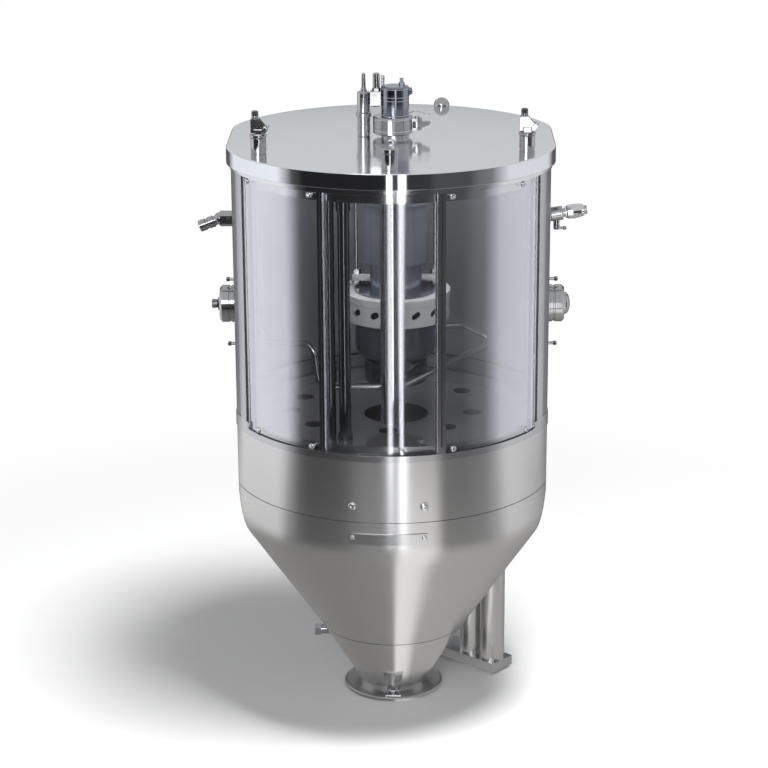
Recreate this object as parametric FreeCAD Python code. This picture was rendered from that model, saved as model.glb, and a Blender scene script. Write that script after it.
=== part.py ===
"""Colloid mill: a glazed stainless chamber on a hopper, with the mill head hung from a flat lid.

Millimetres, Z up. The origin is the centre of the outlet flange's underside, and the front faces -Y.
Angles round the tank are measured from the front, positive towards +X.
"""
import FreeCAD, Part
import math
import os

os.makedirs("parts", exist_ok=True)
V = FreeCAD.Vector
UP = V(0, 0, 1)

# Tank: a cylinder with a flat cut to this depth on its left and right sides
TANK_R = 208.0
FLAT_DEPTH = 8.0
TANK_CORNER = 25.0
WALL = 2.5
SEAT_GAP = 0.3
RUN_GAP = 0.05
SEAM = 0.8

# Heights of the tank's pieces, from the floor up
FLANGE_T = 5.0
SPOUT_H = 77.0
CONE_H = 240.0
HOPPER_RIM_H = 50.0
BAND_H = 80.0
DECK_SINK = 2.0
DECK_T = 3.0
LEDGE_T = 6.0
LEDGE_WIDTH = 14.0
DECK_RING_H = 17.0
GLAZING_H = 319.0
TOP_RING_H = 7.0
UPSTAND_H = 14.0

# Outlet
FLANGE_R = 66.0
FLANGE_BEAD_H = 0.8
OUTLET_R = 40.0
NECK_R = 45.0
NECK_BEND_R = 30.0
CONE_FOOT_Z = 20.0
SHOULDER_R = 52.0
SHOULDER_PROUD = 0.5
LATCH_WIRE_R = 1.5
LATCH_WIDTH = 14.0
LATCH_LUG_T = 4.0
LATCH_REACH = 15.0
SIDE_PORT_Z = 77.0
SIDE_PORT_R = 6.5
SIDE_PORT_REACH = 106.0
SIDE_PORT_CAP = 8.0

# Support at the back right
SUPPORT_X = 135.0
SUPPORT_Y = 45.0
SUPPORT_TURN = 139.3
SUPPORT_R = 17.0
SUPPORT_WALL = 2.0
SUPPORT_PITCH = 36.0
FOOT_PAD_T = 4.0
FOOT_PAD_R = 13.0
FOOT_BAR_T = 13.0
FOOT_BAR_W = 41.0
FOOT_BAR_BEFORE = 19.0
FOOT_BAR_AFTER = 82.0
FOOT_FIN_H = 27.0
FOOT_FIN_T = 2.5

# Deck
DRIVE_X = 5.0
DECK_HOLE_Y = -8.0
DECK_HOLE_R = 42.0
DECK_DRAIN_R = 12.0
DECK_DRAINS = ((-132.6, 4.3), (-117.5, 59.9), (-100.7, -53.3), (-4.9, -79.2), (71.0, -64.3), (104.3, -4.9),
               (93.2, 86.5))
DECK_SCREWS = ((38.0, -120.8), (78.5, -155.2))

# Glazing
GLASS_IN = 2.0
GLASS_T = 4.0
LIP_PROUD = 1.0
LIP_T = 2.7
BED_T = 6.0
SKIRT_T = 3.5
TOP_SKIRT_H = 12.0
MULLION_LEFT = -23.8
MULLION_RIGHT = 17.4
MULLION_W_LEFT = 7.0
MULLION_W_RIGHT = 10.5
MULLION_GROOVE = 1.6
WEB_T = 2.4
CORNER_FROM = 60.4
CORNER_STEP = 62.0
CORNER_TO = 66.6
CORNER_PROUD = 1.6
SHELL_RETURN = 18.0
GLASS_SCREW_EDGE = 5.0
GLASS_SCREWS_TOP = (-59.0, -28.0, 21.3, 51.8)
GLASS_SCREWS_BOTTOM = (-54.8, -28.4, 3.7, 21.9, 55.6)
SMALL_HEAD_R = 3.8
SMALL_HEAD_H = 2.2
SMALL_SHANK_R = 2.0
SCREW_GAP = 0.2

# Band screws and nameplate
BAND_SCREW_UP = 21.0
BAND_HEAD_R = 5.2
BAND_HEAD_H = 3.0
BAND_SHANK_R = 3.0
PLATE_ANGLE = -1.0
PLATE_SPREAD = 12.4
PLATE_HALF_ANGLE = 13.8
PLATE_DROP = 22.0
PLATE_H = 14.0
PLATE_T = 1.2
PLATE_ROUND = 2.5
PLATE_SCREW_UP = 2.0

# Lid
LID_REACH = 10.6
LID_FLAT_REACH = 5.0
LID_CORNER = 42.0
LID_H = 20.0
LID_T = 4.0
LID_RIM = 3.0
LID_EDGE_R = 1.2
LID_DROP = 1.0
SHAFT_HOLE_R = 12.0

# Fittings on the lid
FITTING_INSET = 21.0
FITTING_ANGLES = (-60.0, 64.0)
BOSS_R = 9.8
BOSS_H = 19.0
BOSS_GROOVE = 0.8
COLLAR_R = 10.8
COLLAR_H = 4.0
VALVE_HEX = 15.0
VALVE_HEX_H = 6.0
VALVE_BODY_W = 11.0
VALVE_BODY_H = 17.0
KNUCKLE_R = 3.6
KNOB_R = 4.3
KNOB_H = 8.0
KNOB_STEM_R = 2.0
KNOB_SINK = 8.0
KNOB_X = -3.5
KNURLS = 12
EYE_R = 4.6
EYE_WIRE_R = 1.4
DOME_ANGLE = 161.4
DOME_INSET = 4.3
DOME_R = 10.5

# Motor group on the lid
MOTOR_NECK_R = 17.7
MOTOR_NECK_H = 5.0
CLAMP_X = 2.0
CLAMP_R = 25.0
CLAMP_H = 22.0
CLAMP_WALL = 3.0
LUG_X = 33.0
LUG_R = 6.0
LUG_SLOT = 8.0
LEVER_LEN = 16.5
LEVER_PIN_R = 2.0
CAN_H = 20.0
CAP_H = 18.0
CAN_R = 17.7
STUD_R = 3.0
STUD_H = 8.0
SENSOR_X = -34.6
SENSOR_Y = 5.0
SENSOR_R = 8.2
SENSOR_H = 57.0
STEM_R = 2.8
STEM_H = 23.0
BLOCK_DROP = 18.0
BLOCK_H = 20.0
BLOCK_D = 11.0
VENT_PIPE_R = 4.4
VENT_PIPE_H = 22.0
VENT_NUT = 9.4
VENT_NUT_H = 3.0

# Mill head
HOUSING_R = 41.0
HOUSING_STEP = 6.0
HOUSING_TOP_L = 78.0
HOUSING_L = 79.0
HOUSING_WALL = 4.0
HOUSING_FLOOR_T = 6.0
CARRIER_STEP = 8.0
CARRIER_L = 37.0
SHAFT_R = 8.0
SHAFT_PROUD = 36.0
BEARING_R = 17.0
BEARING_T = 12.0
BEARING_STEP = 3.0
UPPER_BEARING_UP = 18.0
LOWER_BEARING_DROP = 19.0
SEAL_R = 14.0
SEAL_T = 5.0
BOWL_R = 53.0
BOWL_WALL = 4.0
BOWL_H = 91.0
BOWL_ROUND = 18.0
BOWL_COVER_T = 6.0
INTAKES = 6
INTAKE_W = 24.0
INTAKE_H = 12.0
INTAKE_DROP = 25.0
RING_SPACE = 14.0
RING_WALL = 3.5
RING_H = 36.5
RING_RIM_H = 9.0
RING_LIP = 5.0
WINDOWS = 16
WINDOW_W = 13.0
WINDOW_H = 8.0
WINDOW_SLANT = 32.0
TEETH = 24
TOOTH_SLOT = 2.6
TOOTH_DEPTH = 3.0
STATOR_UP = 24.0
STATOR_H = 34.0
STATOR_MOUTH_H = 3.0
STATOR_MOUTH_W = 4.0
ROTOR_TOP_R = 22.0
ROTOR_SLOPE = 0.42
MILL_GAP = 0.8
ROTOR_FOOT = 3.0
DISCHARGE_R = 40.5
DISCHARGE_WALL = 3.0
DISCHARGE_L = 32.0
BRACKET_UP = 9.0
BRACKET_T = 9.0
BRACKET_REACH = 56.0
BRACKET_DEPTH = 58.0
ROD_X = 51.0
ROD_Y = 10.0
ROD_R = 3.0
ROD_NUT_R = 5.5
ROD_NUT_H = 5.0

# Pipes and columns in the chamber
INLET_X = 1.5
INLET_Y = -93.0
INLET_R = 15.5
INLET_WALL = 1.5
INLET_UP = 17.0
INLET_TIP_L = 55.0
COLUMN_Y = -112.0
COLUMN_A_X = -58.5
COLUMN_A_R = 7.5
COLUMN_B_X = -76.5
COLUMN_B_R = 6.5
COLUMN_FOOT_R = 9.0
COLUMN_FOOT_H = 10.0
COLUMN_BUSH_L = 65.0
UNION_UP = 78.0
UNION_H = 26.0
PIPE_R = 4.5
PIPE_BEND_R = 16.0
PIPE_PORT_UP = 34.0
PIPE_PORT_ANGLE = 105.0
PIPE_RIGHT_X = 138.0
PIPE_RIGHT_Y = 30.0
PIPE_RIGHT_DROP = 23.0
PIPE_FRONT_X = 14.0
PIPE_FRONT_Y = -61.0
PIPE_FRONT_DROP = 34.0
PIPE_LEFT_X = -92.0
PIPE_LEFT_Y = -67.0
PIPE_RISE = 56.0
PIPE_WALL_SPACE = 29.0
PIPE_PORT_R = 7.0
PIPE_PORT_LEN = 6.0

# Fittings on the flats
NOZZLE_UP = 241.0
NOZZLE_HEX = 18.0
NOZZLE_DISC_R = 12.0
NOZZLE_DISC_T = 3.0
LEFT_DROOP = 21.0
LEFT_HEX_L = 17.0
BARREL_R = 7.5
BARREL_L = 29.0
NOZZLE_BORE_R = 4.0
NOZZLE_BORE_L = 22.0
RIGHT_NOZZLE_UP = 245.0
RIGHT_RISE = 8.0
RIGHT_BODY_R = 9.0
RIGHT_BODY_L = 16.0
SPINDLE_R = 5.5
SLEEVE_R = 9.2
SLEEVE_L = 24.0
SLEEVE_TRAVEL = 2.5
SPINDLE_L = 31.0
COCK_DROP = 15.0
COCK_R = 4.0
COCK_HANDLE_L = 15.0
PORT_UP = 128.0
PORT_R = 24.0
PORT_REACH = 22.0
PORT_RIM = 3.0
LEFT_KNOB_R = 5.5
LEFT_KNOB_L = 10.0
WASHER_R = 9.0
WASHER_T = 2.5
DOME_KNOB_R = 14.5
DOME_KNOB_H = 7.5
STEM_HOLE_R = 3.0
PIN_R = 2.6
PIN_REACH = 14.0
PIN_ABOVE = 32.5
PIN_BELOW = 54.0

# Values worked out from the ones above
TANK_HALF = TANK_R - FLAT_DEPTH
LID_R = TANK_R + LID_REACH
LID_HALF = TANK_HALF + LID_FLAT_REACH
FITTING_CIRCLE_R = TANK_R - FITTING_INSET
SPOUT_SEAM_Z = CONE_FOOT_Z + SPOUT_H
CONE_TOP_Z = CONE_FOOT_Z + CONE_H
HOPPER_TOP_Z = CONE_TOP_Z + HOPPER_RIM_H
BAND_TOP_Z = HOPPER_TOP_Z + BAND_H
DECK_TOP_Z = BAND_TOP_Z - DECK_SINK
RING_TOP_Z = BAND_TOP_Z + DECK_RING_H
TOP_RING_Z = RING_TOP_Z + GLAZING_H
GLASS_SCREW_TOP_Z = TOP_RING_Z - GLASS_SCREW_EDGE
GLASS_SCREW_BOTTOM_Z = RING_TOP_Z - GLASS_SCREW_EDGE
BAND_SCREW_Z = HOPPER_TOP_Z + BAND_SCREW_UP
PLATE_Z = HOPPER_TOP_Z - PLATE_DROP
PLATE_SCREW_Z = PLATE_Z + PLATE_SCREW_UP
CONE_SLOPE = (TANK_R - NECK_R) / CONE_H
CONE_ANGLE = math.atan(CONE_SLOPE)
LID_BOTTOM_Z = TOP_RING_Z + TOP_RING_H + LID_DROP
LID_TOP_Z = LID_BOTTOM_Z + LID_H
LID_UNDER_Z = LID_TOP_Z - LID_T
GLASS_R = TANK_R - GLASS_IN
GLASS_R_IN = GLASS_R - GLASS_T
LIP_R = TANK_R + LIP_PROUD
SKIRT_R = GLASS_R_IN - SEAT_GAP
SKIRT_R_IN = SKIRT_R - SKIRT_T
RING_BED_Z = BAND_TOP_Z + BED_T
TOP_SKIRT_Z = TOP_RING_Z - TOP_SKIRT_H
TOP_BED_Z = TOP_RING_Z + 3.0
CLAMP_Z = LID_TOP_Z + MOTOR_NECK_H
CAN_TOP_Z = CLAMP_Z + CLAMP_H + CAN_H
CAP_TOP_Z = CAN_TOP_Z + CAP_H
BLOCK_Z = LID_TOP_Z + SENSOR_H - BLOCK_DROP
HOUSING_TOP_R = HOUSING_R + HOUSING_STEP
CARRIER_R = HOUSING_R - CARRIER_STEP
HOUSING_STEP_Z = LID_UNDER_Z - HOUSING_TOP_L
HOUSING_BOTTOM_Z = HOUSING_STEP_Z - HOUSING_L
CARRIER_BOTTOM_Z = HOUSING_BOTTOM_Z - CARRIER_L
SHAFT_TOP_Z = LID_TOP_Z + SHAFT_PROUD
UPPER_BEARING_Z = HOUSING_STEP_Z + UPPER_BEARING_UP
LOWER_BEARING_Z = HOUSING_BOTTOM_Z - LOWER_BEARING_DROP
BOWL_TOP_Z = CARRIER_BOTTOM_Z
BOWL_BOTTOM_Z = BOWL_TOP_Z - BOWL_H
BORE_R = BOWL_R - BOWL_WALL
INTAKE_Z = BOWL_TOP_Z - INTAKE_DROP
RING_R = BOWL_R + RING_SPACE + RING_WALL
RING_BOTTOM_Z = BOWL_TOP_Z - RING_H
STATOR_BOTTOM_Z = BOWL_BOTTOM_Z + STATOR_UP
DISCHARGE_BOTTOM_Z = BOWL_BOTTOM_Z - DISCHARGE_L
BRACKET_Z = CARRIER_BOTTOM_Z + BRACKET_UP
INLET_BOTTOM_Z = DECK_TOP_Z + INLET_UP
INLET_TIP_Z = INLET_BOTTOM_Z + INLET_TIP_L
COLUMN_BUSH_Z = LID_UNDER_Z - COLUMN_BUSH_L
UNION_Z = DECK_TOP_Z + UNION_UP
PIPE_PORT_Z = BOWL_BOTTOM_Z + PIPE_PORT_UP
NOZZLE_Z = RING_TOP_Z + NOZZLE_UP
RIGHT_NOZZLE_Z = RING_TOP_Z + RIGHT_NOZZLE_UP
PORT_Z = RING_TOP_Z + PORT_UP
PIN_UPPER_Z = PORT_Z + PIN_ABOVE
PIN_LOWER_Z = PORT_Z - PIN_BELOW


def save(name, shape):
    """Writes one sub-part as a STEP file, and stops if it isn't a closed valid solid."""
    shape = shape.removeSplitter() if shape.ShapeType != "Compound" else shape
    assert shape.isValid() and shape.Solids, name
    shape.exportStep(f"parts/{name}.step")


def direction(degrees):
    """The unit vector that points outwards at an angle round the tank."""
    a = math.radians(degrees)
    return V(math.sin(a), -math.cos(a), 0)


def at_angle(radius, degrees, z):
    return direction(degrees) * radius + V(0, 0, z)


def cylinder(radius, z0, z1, x=0.0, y=0.0):
    return Part.makeCylinder(radius, z1 - z0, V(x, y, z0))


def tube(outer, inner, z0, z1, x=0.0, y=0.0):
    return cylinder(outer, z0, z1, x, y).cut(cylinder(inner, z0 - 1, z1 + 1, x, y))


def box(x0, x1, y0, y1, z0, z1):
    return Part.makeBox(x1 - x0, y1 - y0, z1 - z0, V(x0, y0, z0))


def revolved(points, x=0.0, y=0.0):
    """Turns a closed (radius, z) outline about a vertical axis at (x, y)."""
    wire = Part.makePolygon([V(x + r, y, z) for r, z in points + points[:1]])
    return Part.Face(wire).revolve(V(x, y, 0), UP, 360)


def hexagon(across_flats, z0, z1, x=0.0, y=0.0):
    corner = across_flats / math.sqrt(3)
    points = [V(x + corner * math.cos(math.radians(60 * i)), y + corner * math.sin(math.radians(60 * i)), z0)
              for i in range(7)]
    return Part.Face(Part.makePolygon(points)).extrude(V(0, 0, z1 - z0))


def aimed(shape, start, axis):
    """Moves a shape drawn up the Z axis so that it starts at a point and runs along an axis."""
    shape.Placement = FreeCAD.Placement(start, FreeCAD.Rotation(UP, axis)).multiply(shape.Placement)
    return shape


def polar_wedge(r0, r1, a0, a1, z0, z1):
    """A piece of a curved wall between two radii, two angles and two levels."""
    middle = (a0 + a1) / 2
    edges = [
        Part.Arc(at_angle(r1, a0, z0), at_angle(r1, middle, z0), at_angle(r1, a1, z0)).toShape(),
        Part.LineSegment(at_angle(r1, a1, z0), at_angle(r0, a1, z0)).toShape(),
        Part.Arc(at_angle(r0, a1, z0), at_angle(r0, middle, z0), at_angle(r0, a0, z0)).toShape(),
        Part.LineSegment(at_angle(r0, a0, z0), at_angle(r1, a0, z0)).toShape(),
    ]
    return Part.Face(Part.Wire(edges)).extrude(V(0, 0, z1 - z0))


def flatted(radius, half, corner, z0, z1):
    """An upright prism: a circle cut by a flat on the left and the right, with rounded corners."""
    cx = half - corner
    reach = radius - corner
    cy = math.sqrt(reach * reach - cx * cx)
    turn = math.atan2(cy, cx)
    tx, ty = radius * cx / reach, radius * cy / reach
    mx, my = cx + corner * math.cos(turn / 2), cy + corner * math.sin(turn / 2)

    def arc(a, b, c):
        return Part.Arc(V(*a, z0), V(*b, z0), V(*c, z0)).toShape()

    edges = [
        Part.LineSegment(V(half, -cy, z0), V(half, cy, z0)).toShape(),
        arc((half, cy), (mx, my), (tx, ty)),
        arc((tx, ty), (0, radius), (-tx, ty)),
        arc((-tx, ty), (-mx, my), (-half, cy)),
        Part.LineSegment(V(-half, cy, z0), V(-half, -cy, z0)).toShape(),
        arc((-half, -cy), (-mx, -my), (-tx, -ty)),
        arc((-tx, -ty), (0, -radius), (tx, -ty)),
        arc((tx, -ty), (mx, -my), (half, -cy)),
    ]
    return Part.Face(Part.Wire(edges)).extrude(V(0, 0, z1 - z0))


def tank_prism(inset, z0, z1):
    """The tank's section, inset from its outer face."""
    return flatted(TANK_R - inset, TANK_HALF - inset, TANK_CORNER - inset, z0, z1)


def tank_ring(outset, inset, z0, z1):
    return tank_prism(-outset, z0, z1).cut(tank_prism(inset, z0 - 1, z1 + 1))


def cone_radius(z, inset=0.0):
    """The hopper cone's radius at a level, inset at right angles to its wall."""
    return NECK_R + CONE_SLOPE * (z - CONE_FOOT_Z) - inset * math.sqrt(1 + CONE_SLOPE ** 2)


def shoulder_prism(inset, z0, z1):
    """Seen from the front: the upright flats run into the cone's slope through a rounded shoulder."""
    side = TANK_HALF - inset
    proud = SHOULDER_PROUD
    corner_z = CONE_FOOT_Z + (side - proud - cone_radius(CONE_FOOT_Z, inset)) / CONE_SLOPE
    bend = SHOULDER_R - inset
    tangent = bend * math.tan(CONE_ANGLE / 2)
    low = (side - tangent * math.sin(CONE_ANGLE), corner_z - tangent * math.cos(CONE_ANGLE))
    high = (side, corner_z + tangent)
    half_turn = CONE_ANGLE / 2
    middle = (side - bend + bend * math.cos(half_turn), corner_z + tangent - bend * math.sin(half_turn))
    foot = cone_radius(z0, inset) + proud

    def point(p, sign):
        return V(sign * p[0], -TANK_R - 2, p[1])

    edges = []
    for sign in (1, -1):
        edges.append(Part.LineSegment(point((foot, z0), sign), point(low, sign)).toShape())
        edges.append(Part.Arc(point(low, sign), point(middle, sign), point(high, sign)).toShape())
        edges.append(Part.LineSegment(point(high, sign), point((side, z1), sign)).toShape())
    edges.append(Part.LineSegment(point((foot, z0), 1), point((foot, z0), -1)).toShape())
    edges.append(Part.LineSegment(point((side, z1), 1), point((side, z1), -1)).toShape())
    wire = Part.Wire(Part.__sortEdges__(edges))
    return Part.Face(wire).extrude(V(0, 2 * TANK_R + 4, 0))


def hopper_solid(inset, z0, z1):
    """The filled hopper: the tank's section, the cone and the rounded shoulders taken together."""
    clear_r = TANK_R + 8
    clear_z = CONE_FOOT_Z + (clear_r - cone_radius(CONE_FOOT_Z, inset)) / CONE_SLOPE
    cone = revolved([(0, z0), (cone_radius(z0, inset), z0), (clear_r, clear_z), (clear_r, z1), (0, z1)])
    return tank_prism(inset, z0, z1).common(cone).common(shoulder_prism(inset, z0, z1))


def hopper_cone():
    outer = hopper_solid(0, SPOUT_SEAM_Z, HOPPER_TOP_Z)
    body = outer.cut(hopper_solid(WALL, SPOUT_SEAM_Z - 2, HOPPER_TOP_Z + 2))
    port = cylinder_along_x(SIDE_PORT_R + RUN_GAP, -SIDE_PORT_REACH, 0, SIDE_PORT_Z)
    return body.cut(port).cut(screw_holes(plate_screw_places()))


def cylinder_along_x(radius, x0, x1, z, y=0.0):
    return Part.makeCylinder(radius, x1 - x0, V(x0, y, z), V(1, 0, 0))


def spout_profile(inset):
    """The lower cone's outline from the seam down through a soft bend into the upright neck."""
    tangent = NECK_BEND_R * math.tan(CONE_ANGLE / 2)
    neck = NECK_R - inset
    start = CONE_FOOT_Z + (neck - cone_radius(CONE_FOOT_Z, inset)) / CONE_SLOPE
    bend = [(neck, start - tangent)]
    steps = 4
    for i in range(1, steps + 1):
        turn = CONE_ANGLE * i / steps
        bend.append((neck + NECK_BEND_R * (1 - math.cos(turn)), start - tangent + NECK_BEND_R * math.sin(turn)))
    return bend + [(cone_radius(SPOUT_SEAM_Z, inset), SPOUT_SEAM_Z)]


def outlet_spout():
    outer = spout_profile(0)
    inner = spout_profile(NECK_R - OUTLET_R)
    inner = [(r, z) for r, z in inner[:-1]] + [(cone_radius(SPOUT_SEAM_Z, WALL), SPOUT_SEAM_Z)]
    points = [(OUTLET_R, FLANGE_T), (NECK_R, FLANGE_T)] + outer + inner[::-1]
    body = revolved(points)
    half = LATCH_WIDTH / 2
    lugs = [box(x, x + LATCH_LUG_T, -NECK_R - 6, -NECK_R + 2, FLANGE_T, latch_z() + 4)
            for x in (-half, half - LATCH_LUG_T)]
    hole = cylinder_along_x(LATCH_WIRE_R + RUN_GAP, -LATCH_WIDTH, LATCH_WIDTH, latch_z(), latch_y())
    for lug in lugs:
        body = body.fuse(lug.cut(hole))
    port = cylinder_along_x(SIDE_PORT_R + RUN_GAP, -SIDE_PORT_REACH, 0, SIDE_PORT_Z)
    return body.cut(port)


def latch_y():
    return -NECK_R - 3.2


def latch_z():
    return FLANGE_T + FLANGE_BEAD_H + SEAT_GAP + LATCH_WIRE_R


def base_flange():
    """The outlet ferrule: a thin plate with a thickened, rolled rim and a seal groove below."""
    rim = FLANGE_R
    return revolved([(OUTLET_R, 0), (rim - 2, 0), (rim, 2), (rim, FLANGE_T - 0.5), (rim - 1.5, FLANGE_T + FLANGE_BEAD_H),
                     (rim - 3.5, FLANGE_T), (OUTLET_R, FLANGE_T)])


def outlet_latch():
    """A U of wire, hinged in two lugs on the neck, with a flat tongue across it."""
    half = LATCH_WIDTH / 2
    y0, z0 = latch_y(), latch_z()
    y1 = y0 - LATCH_REACH
    r = LATCH_WIRE_R
    side = half + SEAT_GAP + r
    wire = cylinder_along_x(r, -side - r, side + r, z0, y0)
    arm = Part.makeCylinder(r, LATCH_REACH, V(0, y1, z0), V(0, 1, 0))
    for x in (-side, side):
        wire = wire.fuse(arm.translated(V(x, 0, 0)))
    wire = wire.fuse(cylinder_along_x(r, -side - r, side + r, z0, y1))
    tongue = box(-2.5, 2.5, y1, y0, z0 - 1, z0 + 0.6)
    return wire.fuse(tongue)


def side_port():
    """A short pipe through the cone's left side, closed by a screwed cap."""
    start = -cone_radius(SIDE_PORT_Z) + 6
    body = cylinder_along_x(SIDE_PORT_R, -SIDE_PORT_REACH + 2, start, SIDE_PORT_Z)
    cap = hexagon(2 * SIDE_PORT_R + 2.4, 0, SIDE_PORT_CAP)
    cap = aimed(cap, V(-SIDE_PORT_REACH + SIDE_PORT_CAP, 0, SIDE_PORT_Z), V(-1, 0, 0))
    bore = cylinder_along_x(SIDE_PORT_R - 2, -SIDE_PORT_REACH + SIDE_PORT_CAP, start + 1, SIDE_PORT_Z)
    return body.fuse(cap).cut(bore)


def along_support(distance, aside=0.0):
    """A point on the foot bar's middle line, counted from the main tube, and a distance aside of it."""
    a = math.radians(SUPPORT_TURN)
    ahead = V(math.cos(a), math.sin(a), 0)
    return V(SUPPORT_X, SUPPORT_Y, 0) + ahead * distance + V(-ahead.y, ahead.x, 0) * aside


def support_tubes():
    """Two upright tubes from the foot bar to the underside of the cone, shaped to it."""
    top = CONE_TOP_Z
    cone = revolved([(0, 0), (cone_radius(0), 0), (cone_radius(top), top), (0, top)])
    tubes = []
    for distance in (0, SUPPORT_PITCH):
        foot = along_support(distance)
        post = tube(SUPPORT_R, SUPPORT_R - SUPPORT_WALL, FOOT_PAD_T + FOOT_BAR_T, top - 20, foot.x, foot.y)
        tubes.append(post.cut(cone))
    return Part.makeCompound([t.Solids[0] for t in tubes])


def foot_bar():
    """The flat bar under the tubes, with a stiffening fin at its front corner and two round pads."""
    half = FOOT_BAR_W / 2
    corners = [along_support(-FOOT_BAR_BEFORE, half), along_support(FOOT_BAR_AFTER, half),
               along_support(FOOT_BAR_AFTER, -half), along_support(-FOOT_BAR_BEFORE, -half)]
    bar = Part.Face(Part.makePolygon(corners + corners[:1])).extrude(V(0, 0, FOOT_BAR_T))
    bar.translate(V(0, 0, FOOT_PAD_T))
    top = FOOT_PAD_T + FOOT_BAR_T
    corner = along_support(-FOOT_BAR_BEFORE + FOOT_FIN_T, half - FOOT_FIN_T)
    tube_foot = along_support(0)
    inward = (tube_foot - corner).normalize()
    across = V(-inward.y, inward.x, 0) * (FOOT_FIN_T / 2)
    reach = inward * (corner.distanceToPoint(tube_foot) - SUPPORT_R - SEAT_GAP)
    fin_points = [corner + across, corner - across, corner - across + reach, corner + across + reach]
    fin = Part.Face(Part.makePolygon(fin_points + fin_points[:1])).extrude(V(0, 0, FOOT_FIN_H + 1))
    fin.translate(V(0, 0, top - 1))
    body = bar.fuse(fin)
    for distance in (8.0, FOOT_BAR_AFTER - FOOT_PAD_R - 4):
        place = along_support(distance)
        body = body.fuse(cylinder(FOOT_PAD_R, 0, FOOT_PAD_T + 1, place.x, place.y))
    return body


def deck_band():
    """The plain band under the glazing, with the inner ledge that carries the deck."""
    band = tank_ring(0, WALL, HOPPER_TOP_Z + SEAM, BAND_TOP_Z)
    foot = tank_ring(-SEAM, WALL, HOPPER_TOP_Z, HOPPER_TOP_Z + SEAM + 1)
    ledge_top = DECK_TOP_Z - DECK_T
    ledge = tank_ring(-WALL / 2, LEDGE_WIDTH, ledge_top - LEDGE_T, ledge_top)
    return band.fuse(foot).fuse(ledge).cut(screw_holes(band_screw_places()))


def deck_plate():
    """The deck: a flat plate with a large hole under the mill and scattered drain holes."""
    plate = tank_prism(WALL + SEAT_GAP, DECK_TOP_Z - DECK_T, DECK_TOP_Z)
    plate = plate.cut(cylinder(DECK_HOLE_R, DECK_TOP_Z - DECK_T - 1, DECK_TOP_Z + 1, DRIVE_X, DECK_HOLE_Y))
    for x, y in DECK_DRAINS:
        plate = plate.cut(cylinder(DECK_DRAIN_R, DECK_TOP_Z - DECK_T - 1, DECK_TOP_Z + 1, x, y))
    for x, y in DECK_SCREWS:
        plate = plate.cut(cylinder(SMALL_SHANK_R + SCREW_GAP, DECK_TOP_Z - DECK_T - 1, DECK_TOP_Z + 1, x, y))
    return plate


def deck_ring():
    """The polished ring that holds the foot of the glazing in a groove."""
    ring = tank_ring(LIP_PROUD, TANK_R - SKIRT_R_IN, BAND_TOP_Z, RING_TOP_Z)
    groove = tank_ring(LIP_PROUD - LIP_T, TANK_R - SKIRT_R, RING_BED_Z, RING_TOP_Z + 1)
    return ring.cut(groove).cut(screw_holes(glass_screw_places()))


def top_ring():
    """The ring over the glazing: a visible band, a skirt behind the glass and an upstand for the gasket."""
    top = TOP_RING_Z + TOP_RING_H
    band = tank_ring(LIP_PROUD, TANK_R - SKIRT_R_IN, TOP_RING_Z, top)
    skirt = tank_ring(SKIRT_R - TANK_R, TANK_R - SKIRT_R_IN, TOP_SKIRT_Z, TOP_RING_Z + 1)
    groove = tank_ring(LIP_PROUD - LIP_T, TANK_R - SKIRT_R, TOP_RING_Z - 1, TOP_BED_Z)
    upstand = tank_ring(-3, TANK_R - SKIRT_R_IN, top - 1, top + UPSTAND_H)
    return band.fuse(skirt).fuse(upstand).cut(groove).cut(screw_holes(glass_screw_places()))


def lid_gasket():
    z0 = TOP_RING_Z + TOP_RING_H + UPSTAND_H
    return tank_ring(-3, TANK_R - SKIRT_R_IN, z0, LID_UNDER_Z)


def lid():
    """The flat lid: one plate with a turned-down rim, and the hole for the drive shaft."""
    body = flatted(LID_R, LID_HALF, LID_CORNER, LID_BOTTOM_Z, LID_TOP_Z)
    top_edges = [e for e in body.Edges if abs(e.BoundBox.ZMin - LID_TOP_Z) < 0.01]
    body = body.makeFillet(LID_EDGE_R, top_edges)
    inner = flatted(LID_R - LID_RIM, LID_HALF - LID_RIM, LID_CORNER - LID_RIM, LID_BOTTOM_Z - 1, LID_UNDER_Z)
    hole = cylinder(SHAFT_HOLE_R, LID_UNDER_Z - 1, LID_TOP_Z + 1, DRIVE_X)
    return body.cut(inner).cut(hole)


def rear_shell():
    """The opaque wall round the back and both flats, with edges turned inwards behind the corner strips."""
    wall = tank_ring(0, WALL, RING_TOP_Z, TOP_RING_Z)
    front = CORNER_TO + 0.1
    wall = wall.cut(polar_wedge(TANK_R - SHELL_RETURN, TANK_R + SHELL_RETURN, -front, front, RING_TOP_Z - 1,
                                TOP_RING_Z + 1))
    for sign in (-1, 1):
        start, end = sorted((sign * front, sign * (front + 0.7)))
        wall = wall.fuse(polar_wedge(TANK_R - SHELL_RETURN, TANK_R - WALL / 2, start, end, RING_TOP_Z,
                                     TOP_SKIRT_Z))
    wall = wall.cut(cylinder_along_x(left_stub_radius() + RUN_GAP, -TANK_R, 0, NOZZLE_Z))
    wall = wall.cut(cylinder_along_x(SPINDLE_R + RUN_GAP, 0, TANK_R, RIGHT_NOZZLE_Z))
    return wall


def degrees_of(length, radius):
    return math.degrees(length / radius)


def glass_edges():
    """The start and end angle of each pane, clear of the webs beside it."""
    web = degrees_of(WEB_T / 2 + SEAT_GAP, GLASS_R_IN)
    corner = CORNER_STEP - web
    return ((-corner, MULLION_LEFT - web), (MULLION_LEFT + web, MULLION_RIGHT - web), (MULLION_RIGHT + web, corner))


def glass_pane(index):
    start, end = glass_edges()[index]
    pane = polar_wedge(GLASS_R_IN, GLASS_R, start, end, RING_BED_Z + SEAT_GAP, TOP_BED_Z - SEAT_GAP)
    return pane.cut(screw_holes(glass_screw_places()))


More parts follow.
